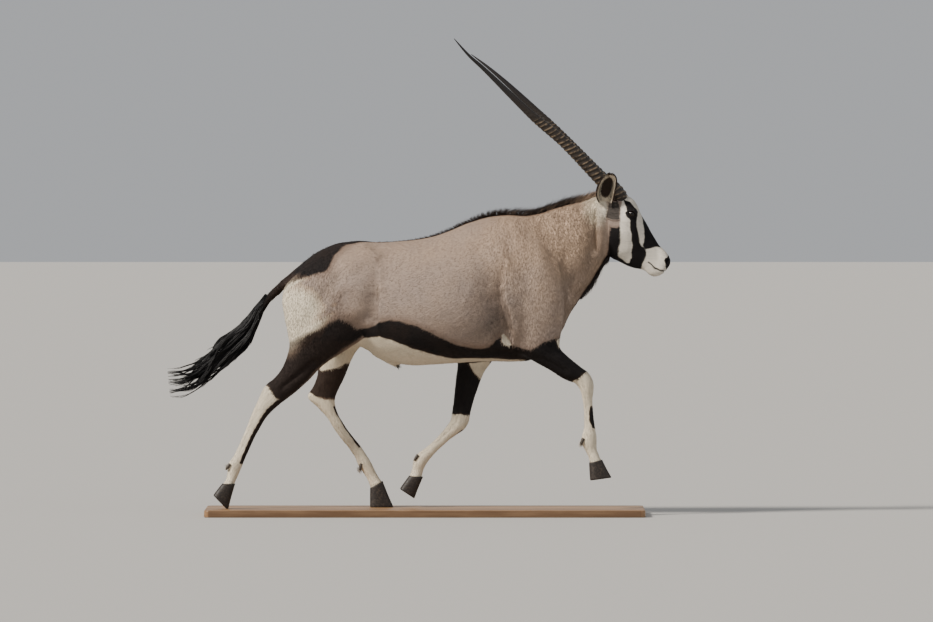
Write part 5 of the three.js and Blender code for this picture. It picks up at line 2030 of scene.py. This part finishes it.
@dataclass
class Horns:
    """The two long ringed horns."""

    lines: tuple[Rows, Rows] = (((818, 1262), (804, 1296), (776, 1331), (724, 1374), (573, 1526),
        (436, 1641), (254, 1817), (180, 1884), (119, 1953)),
        ((820, 1264), (806, 1300), (776, 1340), (722, 1386), (584, 1530), (482, 1633), (356, 1753),
        (265, 1833), (189, 1892)))
    spread: Row = (0, 0, 0.04, 0.167, 0.333, 0.5, 0.667, 0.833, 1)
    base: float = 29.0
    tip: float = 1.0
    rings: float = 29.0
    ringed: float = 0.6
    rows: int = 460
    sides: int = 40
    grain: float = 0.0016
    ridge: float = 4.0
    slant: tuple[float, float, float] = (0.32, 0.0, 0.32)
    root_side: float = 31.0
    tip_side: float = 165.0

    def tree(self) -> Tree:
        """Builds the geometry tree that turns a horn's line into its ringed body.

        Returns:
            The tree, with the horn's sizes as named inputs.
        """
        sizes = dict.fromkeys(("Base", "Tip", "Rings", "Ringed", "Ridge"), "Float")
        inputs = {"Line": "Geometry", **sizes, "Slant": "Vector", "Material": "Material"}
        graph = Graph.group("Horn", "Geometry", inputs, {"Horn": "Geometry"})
        given = graph.given
        line = graph.put("GeometryNodeMeshToCurve", {"Mesh": given["Line"]})
        line = graph.put("GeometryNodeCurveSplineType", {"Curve": line}, spline_type="CATMULL_ROM")
        line = graph.put("GeometryNodeResampleCurve", {"Curve": line, "Count": self.rows})
        run = graph.put("GeometryNodeSplineParameter", out="Factor")
        left = graph.math("SUBTRACT", 1.0, run)
        cone = graph.math("MULTIPLY_ADD", graph.math("POWER", left, 0.72), given["Base"], given["Tip"])
        cone = graph.math("MULTIPLY", cone, graph.band(run, 0.0, 0.055, 0.5, 1.0))
        line = graph.store(graph.store(line, "run", run), "girth", cone)
        body = graph.sweep(line, self.sides, "girth")
        run = graph.named("run")
        normal = graph.put("GeometryNodeInputNormal")
        tilt = graph.vector("DOT_PRODUCT", normal, given["Slant"])
        share = graph.math("DIVIDE", run, given["Ringed"])
        drift = graph.put("ShaderNodeTexNoise", {"W": run, "Scale": 26.0, "Detail": 1.0},
            noise_dimensions="1D")
        phase = graph.math("MULTIPLY_ADD", drift, 0.5, graph.math("MULTIPLY_ADD", share, given["Rings"],
            tilt))
        wave = graph.math("MULTIPLY_ADD", graph.math("FRACT", phase), 2.0, -1.0)
        peak = graph.math("POWER", graph.math("SUBTRACT", 1.0, graph.math("ABSOLUTE", wave)), 0.65)
        peak = graph.math("MULTIPLY", peak, graph.band(share, 0.82, 1.04, 1.0, 0.0))
        fine = graph.put("ShaderNodeTexNoise", {"Scale": 60.0, "Detail": 2.0}, "Fac")
        grain = graph.math("MULTIPLY", graph.math("SUBTRACT", fine, 0.5), self.grain)
        thin = graph.math("POWER", graph.math("SUBTRACT", 1.0, run), 0.6)
        push = graph.math("MULTIPLY", graph.math("MULTIPLY", given["Ridge"], thin),
            graph.math("SUBTRACT", peak, 0.5))
        push = graph.math("MULTIPLY_ADD", grain, thin, push)
        body = graph.store(body, "ring", peak)
        offset = graph.vector("SCALE", normal, push)
        return graph.finish(graph.put("GeometryNodeSetPosition", {"Geometry": body, "Offset": offset}))

    def build(self, material: Material) -> None:
        """Builds both horns.

        Args:
            material: The material.
        """
        tree = self.tree()
        values = {"Base": self.base * MM, "Tip": self.tip * MM, "Rings": self.rings, "Ringed": self.ringed,
            "Ridge": self.ridge * MM, "Slant": self.slant, "Material": material}
        for side, line in zip(Side, self.lines):
            apart = self.root_side + (self.tip_side - self.root_side) * np.array(self.spread) ** 1.1
            points = np.array([(x, side.value * y, z) for (x, z), y in zip(line, apart)]) * MM
            mesh = bpy.data.meshes.new("horn_line")
            mesh.from_pydata(points.tolist(), [(i, i + 1) for i in range(len(points) - 1)], [])
            guide = place_mesh("horn_line", mesh)
            node = f"horn_{side.name.lower()}"
            piece = run_tree(guide, tree, values, f"{node}_sheath")
            bpy.data.objects.remove(guide)
            shade_smooth(piece.data)
            settle(piece, Slot.HORN, node)


@dataclass
class Feet:
    """The cloven hooves and the dewclaws."""

    feet: tuple[Rows, ...] = (((728, 226), (672, 214), (764, 158), (676, 146), (642, 306), (-0.45, -0.9)),
        ((-10, 150), (-68, 156), (-44, 66), (-104, 106), (-38, 234), (-0.62, -0.78)),
        ((-778, 126), (-832, 130), (-806, 24), (-866, 86), (-807, 202), (-0.66, -0.75)),
        ((-172, 132), (-226, 104), (-130, 30.3), (-226, 30.3), (-266, 196), (-0.3, -0.95)))
    sides: Row = (-94, 76, -88, 78)
    width: float = 32.0
    flare: float = 5.0
    middle: float = 17.5
    splay: float = 4.0
    egg: float = 0.28
    level: float = 30.3
    claw_long: float = 30.0
    claw_apart: float = 17.0
    claw_half: tuple[float, float] = (8.3, 6.4)

    def toe(self, foot: Rows, side: float, which: Side) -> Shell:
        """Builds one toe from above the coronet down to its sole.

        Args:
            foot: The coronet's front and rear, the toe's tip and the heel, then the dewclaw.
            side: How far to the side the foot stands, in millimetres.
            which: Which of the two toes.

        Returns:
            Its points in metres and its faces.
        """
        front, rear, tip, heel = foot[:4]
        runs = np.concatenate([np.linspace(-0.06, 0.94, 15), [0.975, 1.0, 1.0]])
        shrink = np.concatenate([np.zeros(15), [0.8, 2.6, 9.0]])
        rows = []
        for run, less in zip(runs, shrink):
            upper = np.array(front) + (np.array(tip) - front) * run
            lower = np.array(rear) + (np.array(heel) - rear) * run
            bow = 2.2 * math.sin(math.pi * max(run, 0)) + 1.2 * math.exp(-((run - 0.06) / 0.05) ** 2)
            away = unit(upper - lower)
            upper = upper + away * (bow * -0.6 - less)
            lower = lower - away * (bow * 0.2 - less)
            middle = side + which.value * (self.middle + self.splay * max(run, 0))
            width = self.width + self.flare * max(run, 0) - 2 * less + bow * 0.3
            rows.append((*upper, *lower, width, middle, self.egg * max(run, 0), 2.1))
        points, faces = Form("toe", tuple(rows)).shell(1, 40)
        points[:, 2] = np.maximum(points[:, 2], self.level * MM)
        return points, faces

    def claw(self, foot: Rows, side: float, which: Side) -> Shell:
        """Builds one dewclaw as a blunt curved cone.

        Args:
            foot: As for the toe.
            side: As for the toe.
            which: Which of the two dewclaws.

        Returns:
            Its points in metres and its faces.
        """
        root, way = foot[4:]
        way = unit(np.array([way[0], 0, way[1]]))
        across = np.cross(way, (0, 1, 0))
        rows, sides = 12, 20
        angle = np.linspace(0, TURN, sides, endpoint=False)
        rings = []
        for run in np.linspace(0, 1, rows):
            narrow = (1 - 0.16 * run) * math.sqrt(max(1 - max(run - 0.62, 0) ** 2 / 0.1465, 0.012))
            centre = np.array([root[0], side + which.value * self.claw_apart, root[1]])
            centre = centre + way * (self.claw_long * (run - 0.5)) + across * 2.5 * run**2
            ring = centre + np.outer(np.cos(angle), (0, self.claw_half[0] * narrow, 0))
            rings.append(ring + np.outer(np.sin(angle), across * self.claw_half[1] * narrow))
        return np.concatenate(rings) * MM, ring_faces(rows, sides)

    def build(self, material: Material, claw_material: Material) -> None:
        """Builds all hooves and dewclaws.

        Args:
            material: The finish of the hooves.
            claw_material: The finish of the dewclaws.
        """
        for limb, foot, side in zip(LIMBS, self.feet, self.sides):
            for which in Side:
                name = f"{limb}_{which.name.lower()}"
                toe = make_mesh(f"toe_{name}", *self.toe(foot, side, which), material)
                settle(toe, Slot.HOOF, f"hoof_{name}")
                claw = make_mesh(f"claw_{name}", *self.claw(foot, side, which), claw_material)
                settle(claw, Slot.HOOF, f"dewclaw_{name}")


@dataclass
class Eyes:
    """The two eyeballs, with iris and level pupil."""

    rows: int = 40
    sides: int = 56
    forward: float = 0.16
    bulge: float = 0.9

    def build(self, material: Material) -> None:
        """Builds both eyeballs.

        Args:
            material: The material.
        """
        for side in Side:
            gaze = unit(np.array([self.forward, side.value, 0.03]))
            right = unit(np.cross((0, 0, 1), gaze))
            top = np.cross(gaze, right)
            tilt = np.linspace(0.02, math.pi - 0.02, self.rows)[:, None, None]
            angle = np.linspace(0, TURN, self.sides, endpoint=False)[None, :, None]
            ball = gaze * np.cos(tilt) + (right * np.cos(angle) + top * np.sin(angle)) * np.sin(tilt)
            cornea = self.bulge * bell(tilt, 0.5)
            centre = np.array([EYE.x, side.value * EYE.side, EYE.z])
            points = (centre + ball * (EYE.radius - 0.5 + cornea)).reshape(-1, 3) * MM
            word = side.name.lower()
            piece = make_mesh(f"eyeball_{word}", points, ring_faces(self.rows, self.sides), material)
            seen = ball.reshape(-1, 3)
            set_attributes(piece.data, gaze=np.stack([seen @ right, seen @ top, seen @ gaze], 1))
            settle(piece, Slot.EYE, f"eye_{word}")


@dataclass
class Plinth:
    """The oak base plate, with rounded corners and eased edges."""

    corner: float = 24.0
    ease: float = 5.0

    def build(self, material: Material) -> None:
        """Builds the base plate over its solid.

        Args:
            material: The material.
        """
        low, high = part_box("stand_base")
        half = np.array([(high.x - low.x) / 2, (high.y - low.y) / 2]) / MM
        thick = high.z / MM
        angle = np.concatenate([np.linspace(q, q + 1, 13) for q in range(4)]) * math.pi / 2
        corner = np.repeat([(1, 1), (-1, 1), (-1, -1), (1, -1)], 13, axis=0)
        turns = np.linspace(0, math.pi / 2, 7)
        profile = [(self.ease * (1 - math.sin(t)), self.ease * (1 - math.cos(t))) for t in turns]
        profile = profile + [(inset, thick - lift) for inset, lift in reversed(profile)]
        rings = []
        for inset, z in profile:
            round_corner = (self.corner - inset) * np.stack([np.cos(angle), np.sin(angle)], 1)
            ring = corner * (half - self.corner) + round_corner
            rings.append(np.column_stack([ring, np.full(len(ring), z)]))
        points = np.concatenate(rings) * MM
        piece = make_mesh("oak_base", points, ring_faces(len(profile), len(angle)), material)
        for face in piece.data.polygons:
            face.use_smooth = len(face.vertices) == 4
        settle(piece, Slot.WOOD, "stand_base")


def new_material(name: str) -> tuple[Material, Graph, bpy.types.Node]:
    """Makes a material and gives it with its graph and its main shader."""
    material = bpy.data.materials.new(name)
    material.use_nodes = True
    return material, Graph(material.node_tree), material.node_tree.nodes["Principled BSDF"]


MARKING_VALUES = ("Dark", "White", "Warm", "Tone", "Tip")


@dataclass(frozen=True)
class CoatColours:
    """Colours of the hair and the group that lays the markings out with them."""

    grey: Colour = (0.33, 0.255, 0.212, 1)
    tan: Colour = (0.41, 0.288, 0.202, 1)
    white: Colour = (0.84, 0.78, 0.68, 1)
    cream: Colour = (0.75, 0.645, 0.48, 1)
    black: Colour = (0.0055, 0.0052, 0.0060, 1)
    brown: Colour = (0.030, 0.018, 0.013, 1)
    rust: Colour = (0.10, 0.05, 0.028, 1)

    def group(self) -> Tree:
        """Builds the markings group, used by skin and hair alike.

        Returns:
            The group.
        """
        inputs = dict.fromkeys(MARKING_VALUES, "Float")
        graph = Graph.group("Markings", "Shader", inputs, {"Colour": "Color", "Dark share": "Float"})
        given = graph.given
        fray = graph.math("MULTIPLY_ADD", given["Tone"], 5.0, -2.5)
        dark = graph.band(graph.math("ADD", given["Dark"], fray), -2.2, 2.2)
        soft = graph.math("MULTIPLY_ADD", given["Tone"], 2.4, -1.2)
        white = graph.band(graph.math("ADD", given["White"], soft), -3.0, 3.0)
        edge = graph.band(given["Dark"], -16.0, -1.0, 0.0, 0.42)
        edge = graph.math("MULTIPLY", edge, graph.band(given["Warm"], 0.0, 0.25, 0.2, 1.0))
        fawn = graph.mix(given["Warm"], self.grey, self.tan)
        fawn = graph.mix(edge, fawn, self.rust)
        pale = graph.mix(given["Warm"], self.white, self.cream)
        ink = graph.mix(given["Warm"], self.black, self.brown)
        coat = graph.mix(white, fawn, pale)
        lively = graph.math("MULTIPLY_ADD", given["Tone"], 0.9, 0.55)
        lively = graph.math("MULTIPLY", lively, graph.math("MULTIPLY_ADD", given["Tip"], 0.3, 0.8))
        bright = graph.put("ShaderNodeCombineColor", {"Red": lively, "Green": lively, "Blue": lively})
        coat = graph.mix(1.0, coat, bright, "MULTIPLY")
        graph.feed(graph.end, {"Colour": graph.mix(dark, coat, ink), "Dark share": dark})
        return graph.tree


@dataclass(frozen=True)
class SkinFinish:
    """The skin under the tufts, with fine hair as bump and colour."""

    streak: float = 900.0

    def build(self, markings: Tree) -> Material:
        """Builds the skin's material.

        Args:
            markings: The group of the markings.

        Returns:
            The material.
        """
        material, graph, shader = new_material("Short hair on skin")
        lie = graph.attribute("lie", "Vector")
        comb = graph.stretch(lie, (1.0, 1.0, 0.09))
        strand = graph.noise(comb, self.streak, 3.0, 0.6)
        lock = graph.noise(comb, self.streak * 0.28, 2.0)
        tone = graph.math("MULTIPLY_ADD", lock, 0.5, graph.math("MULTIPLY", strand, 0.5))
        # The tone takes in the streaks and the painted shade of the hollows.
        tone = graph.math("ADD", tone, graph.attribute("mottle"))
        values = {name: graph.attribute(name.lower()) for name in MARKING_VALUES[:3]}
        look = graph.put("ShaderNodeGroup", {"Tone": tone, "Tip": 0.25, **values}, node_tree=markings)
        height = graph.math("MULTIPLY", graph.math("MULTIPLY_ADD", lock, 1.4, strand),
            graph.attribute("calm"))
        graph.feed(shader, {"Base Color": look, "Roughness": graph.math("MULTIPLY_ADD", tone, 0.16, 0.62),
            "Normal": graph.bump(height, 0.75, 0.0012), "Specular IOR Level": 0.16})
        return material


@dataclass(frozen=True)
class HairFinish:
    """The hair of tufts and strands; short tufts are lit mostly as the skin they lie on."""

    name: str
    settled: float = 0.72
    rough: float = 0.72
    specular: float = 0.16

    def build(self, markings: Tree) -> Material:
        """Builds the hair's material.

        Args:
            markings: The group of the markings.

        Returns:
            The material.
        """
        material, graph, shader = new_material(self.name)
        values = {name: graph.attribute(name.lower()) for name in MARKING_VALUES}
        look = graph.put("ShaderNodeGroup", values, node_tree=markings)
        own = graph.vector("SCALE", graph.put("ShaderNodeNewGeometry", out="Normal"), 1 - self.settled)
        lay = graph.vector("SCALE", graph.attribute("lay", "Vector"), self.settled)
        rough = graph.math("MULTIPLY_ADD", graph.attribute("tone"), 0.15, self.rough - 0.07)
        graph.feed(shader, {"Base Color": look, "Roughness": rough,
            "Normal": graph.vector("NORMALIZE", graph.vector("ADD", own, lay)),
            "Specular IOR Level": self.specular})
        return material


@dataclass(frozen=True)
class HornFinish:
    """Brown-black keratin with fine grain, and paler ridge crests that are a painted highlight."""

    deep: Colour = (0.020, 0.014, 0.010, 1)
    painted_highlight: Colour = (0.30, 0.215, 0.135, 1)
    tip: Colour = (0.012, 0.010, 0.010, 1)

    def build(self) -> Material:
        """Builds the horns' material.

        Returns:
            The material.
        """
        material, graph, shader = new_material("Horn keratin")
        place = graph.put("ShaderNodeTexCoord", out="Object")
        ring = graph.attribute("ring")
        run = graph.attribute("run")
        blotch = graph.noise(place, 55.0, 3.0)
        grain = graph.noise(place, 420.0, 3.0, 0.65)
        # Paler ridge crests: a painted highlight, patchy along the horn.
        highlight_share = graph.math("MULTIPLY", graph.band(ring, 0.66, 1.0), graph.band(blotch, 0.34, 0.66))
        colour = graph.mix(graph.math("MULTIPLY", highlight_share, 0.75), self.deep, self.painted_highlight)
        colour = graph.mix(graph.band(run, 0.5, 0.75, 0.0, 0.9), colour, self.tip)
        height = graph.math("MULTIPLY_ADD", blotch, 0.5, grain)
        graph.feed(shader, {"Base Color": colour, "Normal": graph.bump(height, 0.5, 0.0008),
            "Specular IOR Level": 0.32, "Roughness": graph.math("MULTIPLY_ADD", grain, 0.3,
            graph.band(run, 0.4, 0.8, 0.36, 0.2))})
        return material


@dataclass(frozen=True)
class HoofFinish:
    """Dark hoof horn with growth rings and pale scuffs."""

    name: str = "Hoof horn"
    deep: Colour = (0.018, 0.014, 0.012, 1)
    pale: Colour = (0.10, 0.075, 0.055, 1)

    def build(self) -> Material:
        """Builds the hooves' material.

        Returns:
            The material.
        """
        material, graph, shader = new_material(self.name)
        place = graph.put("ShaderNodeTexCoord", out="Object")
        rings = graph.noise(graph.stretch(place, (0.12, 0.12, 1.0)), 330.0, 2.0)
        scuff = graph.noise(place, 130.0, 4.0, 0.7)
        colour = graph.mix(graph.band(scuff, 0.45, 0.75, 0.0, 0.5), self.deep, self.pale)
        graph.feed(shader, {"Base Color": colour, "Roughness": graph.band(scuff, 0.3, 0.7, 0.42, 0.66),
            "Normal": graph.bump(rings, 0.4, 0.001), "Specular IOR Level": 0.28})
        return material


@dataclass(frozen=True)
class EyeFinish:
    """Dark brown iris with a level black pupil under a wet surface."""

    iris: Colour = (0.016, 0.007, 0.003, 1)
    rim: Colour = (0.004, 0.003, 0.002, 1)
    pupil: Colour = (0.002, 0.002, 0.002, 1)

    def build(self) -> Material:
        """Builds the eyes' material.

        Returns:
            The material.
        """
        material, graph, shader = new_material("Eye")
        gaze = graph.attribute("gaze", "Vector")
        parts = graph.put("ShaderNodeSeparateXYZ", {"Vector": gaze}, "X").node.outputs
        across, high = parts["X"], parts["Y"]
        ring = graph.length(across, high)
        slit = graph.length(graph.math("DIVIDE", across, 0.42), graph.math("DIVIDE", high, 0.2))
        fibre = graph.noise(gaze, 14.0, 3.0)
        iris = graph.mix(graph.math("MULTIPLY", fibre, 0.7), self.iris, self.rim)
        colour = graph.mix(graph.band(ring, 0.6, 0.72), iris, self.rim)
        colour = graph.mix(graph.band(slit, 0.85, 1.1, 1.0, 0.0), colour, self.pupil)
        graph.feed(shader, {"Base Color": colour, "Roughness": 0.05, "Specular IOR Level": 0.25,
            "Coat Weight": 0.08, "Coat Roughness": 0.02})
        return material


@dataclass(frozen=True)
class OakFinish:
    """Satin oak with long grain, pores and edge-glued boards."""

    pale: Colour = (0.40, 0.24, 0.12, 1)
    deep: Colour = (0.20, 0.105, 0.045, 1)
    joint: Colour = (0.05, 0.025, 0.012, 1)
    board: float = 0.14

    def build(self) -> Material:
        """Builds the base's material.

        Returns:
            The material.
        """
        material, graph, shader = new_material("Satin oak")
        place = graph.put("ShaderNodeTexCoord", out="Object")
        parts = graph.put("ShaderNodeSeparateXYZ", {"Vector": place}, "X").node.outputs
        boards = graph.math("DIVIDE", parts["Y"], self.board)
        strip = graph.math("FLOOR", boards)
        shift = graph.put("ShaderNodeCombineXYZ", {"X": graph.math("MULTIPLY", strip, 3.7), "Y": 0.0,
            "Z": strip})
        moved = graph.vector("ADD", place, shift)
        grain = graph.noise(graph.stretch(moved, (0.7, 9.0, 9.0)), 7.0, 5.0, 0.6)
        pores = graph.noise(graph.stretch(moved, (2.0, 60.0, 60.0)), 14.0, 3.0, 0.7)
        within = graph.math("ABSOLUTE", graph.math("SUBTRACT", graph.math("FRACT", boards), 0.5))
        joint = graph.band(within, 0.488, 0.497)
        tint = graph.math("MULTIPLY_ADD", graph.math("FRACT", graph.math("MULTIPLY", strip, 0.618)), 0.25,
            grain)
        colour = graph.mix(graph.band(tint, 0.35, 0.85), self.pale, self.deep)
        colour = graph.mix(graph.band(pores, 0.58, 0.72, 0.0, 0.55), colour, self.deep)
        colour = graph.mix(graph.math("MULTIPLY", joint, 0.6), colour, self.joint)
        height = graph.math("SUBTRACT", graph.math("MULTIPLY", pores, -0.4), joint)
        graph.feed(shader, {"Base Color": colour, "Roughness": graph.band(pores, 0.4, 0.7, 0.36, 0.52),
            "Normal": graph.bump(height, 0.3, 0.0008)})
        return material


@dataclass
class Stage:
    """Floor, lights and camera."""

    scale: float = 4.1
    middle: tuple[float, float] = (466.5, 311.0)
    origin: tuple[float, float] = (425.0, 508.0)
    ground: float = 30.0
    image: tuple[int, int] = (933, 622)
    away: float = 40.0
    eye_level: float = 1.5
    sensor: float = 36.0
    floor_half: float = 90.0
    floor: Colour = (0.46, 0.445, 0.42, 1)
    sky: Colour = (0.84, 0.86, 0.89, 1)

    def build(self) -> None:
        """Builds the floor, the lights and the camera."""
        material, graph, shader = new_material("Pale floor")
        graph.feed(shader, {"Base Color": self.floor, "Roughness": 0.9})
        corners = np.array([(-1, -1, 0), (1, -1, 0), (1, 1, 0), (-1, 1, 0)]) * self.floor_half
        make_mesh("floor", corners, [(0, 1, 2, 3)], material)
        self.sun("key", (-0.70, -0.43, 0.62), 0.2, 5.4, (1.0, 0.945, 0.87))
        self.sun("fill", (0.75, -0.6, 0.3), 0.9, 0.4, (0.90, 0.95, 1.0))
        world = bpy.data.worlds.new("studio")
        world.use_nodes = True
        Graph(world.node_tree).feed(world.node_tree.nodes["Background"],
            {"Color": self.sky, "Strength": 0.52})
        bpy.context.scene.world = world
        self.camera()

    @staticmethod
    def sun(name: str, way: tuple[float, float, float], soft: float, power: float,
            colour: tuple[float, float, float]) -> None:
        """Adds one soft light that is as strong everywhere.

        Args:
            name: The light's name.
            way: The direction that it comes from.
            soft: How wide it is, in radians.
            power: Its strength.
            colour: Its colour.
        """
        lamp = bpy.data.lights.new(name, "SUN")
        lamp.angle = soft
        lamp.energy = power
        lamp.color = colour
        made = bpy.data.objects.new(name, lamp)
        made.location = Vector(way) * 6
        made.rotation_euler = (-Vector(way)).to_track_quat("-Z", "Y").to_euler()
        bpy.context.scene.collection.objects.link(made)

    def camera(self) -> None:
        """Sets the camera where the photographer stood, framed as the photograph is."""
        centre_x = (self.middle[0] - self.origin[0]) * self.scale * MM
        centre_z = (self.ground + (self.origin[1] - self.middle[1]) * self.scale) * MM
        half_width = self.image[0] / 2 * self.scale * MM
        lens = bpy.data.cameras.new("camera")
        lens.sensor_width = self.sensor
        lens.lens = self.sensor / 2 / (half_width / self.away)
        lens.clip_end = 400
        made = bpy.data.objects.new("camera", lens)
        made.location = (centre_x, -self.away, self.eye_level)
        target = Vector((centre_x, 0, centre_z))
        made.rotation_euler = (target - made.location).to_track_quat("-Z", "Y").to_euler()
        bpy.context.scene.collection.objects.link(made)
        bpy.context.scene.camera = made


FLESH_NODES = ("head", "neck", "chest", "barrel", "rump", "tail_dock", "ear_right", "ear_left",
    *(f"leg_{limb}_{half}" for limb in LIMBS for half in ("upper", "lower")))


def main() -> None:
    """Builds the bull on its base."""
    logging.basicConfig(level=logging.INFO, format="%(name)s %(message)s")
    markings = CoatColours().group()
    skin = Skin().build()
    skin.data.materials.clear()
    skin.data.materials.append(SkinFinish().build(markings))
    Coat().build(skin, HairFinish("Coat hair").build(markings))
    settle(skin, Slot.BODY, *FLESH_NODES)
    hair = LongHair(HairFinish("Long hair", rough=0.5, specular=0.24).build(markings))
    for part in (Mane(), Beard(), TailTuft(), Fringes()):
        part.build(hair)
    Horns().build(HornFinish().build())
    dull_horn = HoofFinish("Dewclaw horn", (0.055, 0.045, 0.037, 1), (0.17, 0.14, 0.11, 1))
    Feet().build(HoofFinish().build(), dull_horn.build())
    Eyes().build(EyeFinish().build())
    Plinth().build(OakFinish().build())
    Stage().build()


if __name__ == "__main__":
    main()
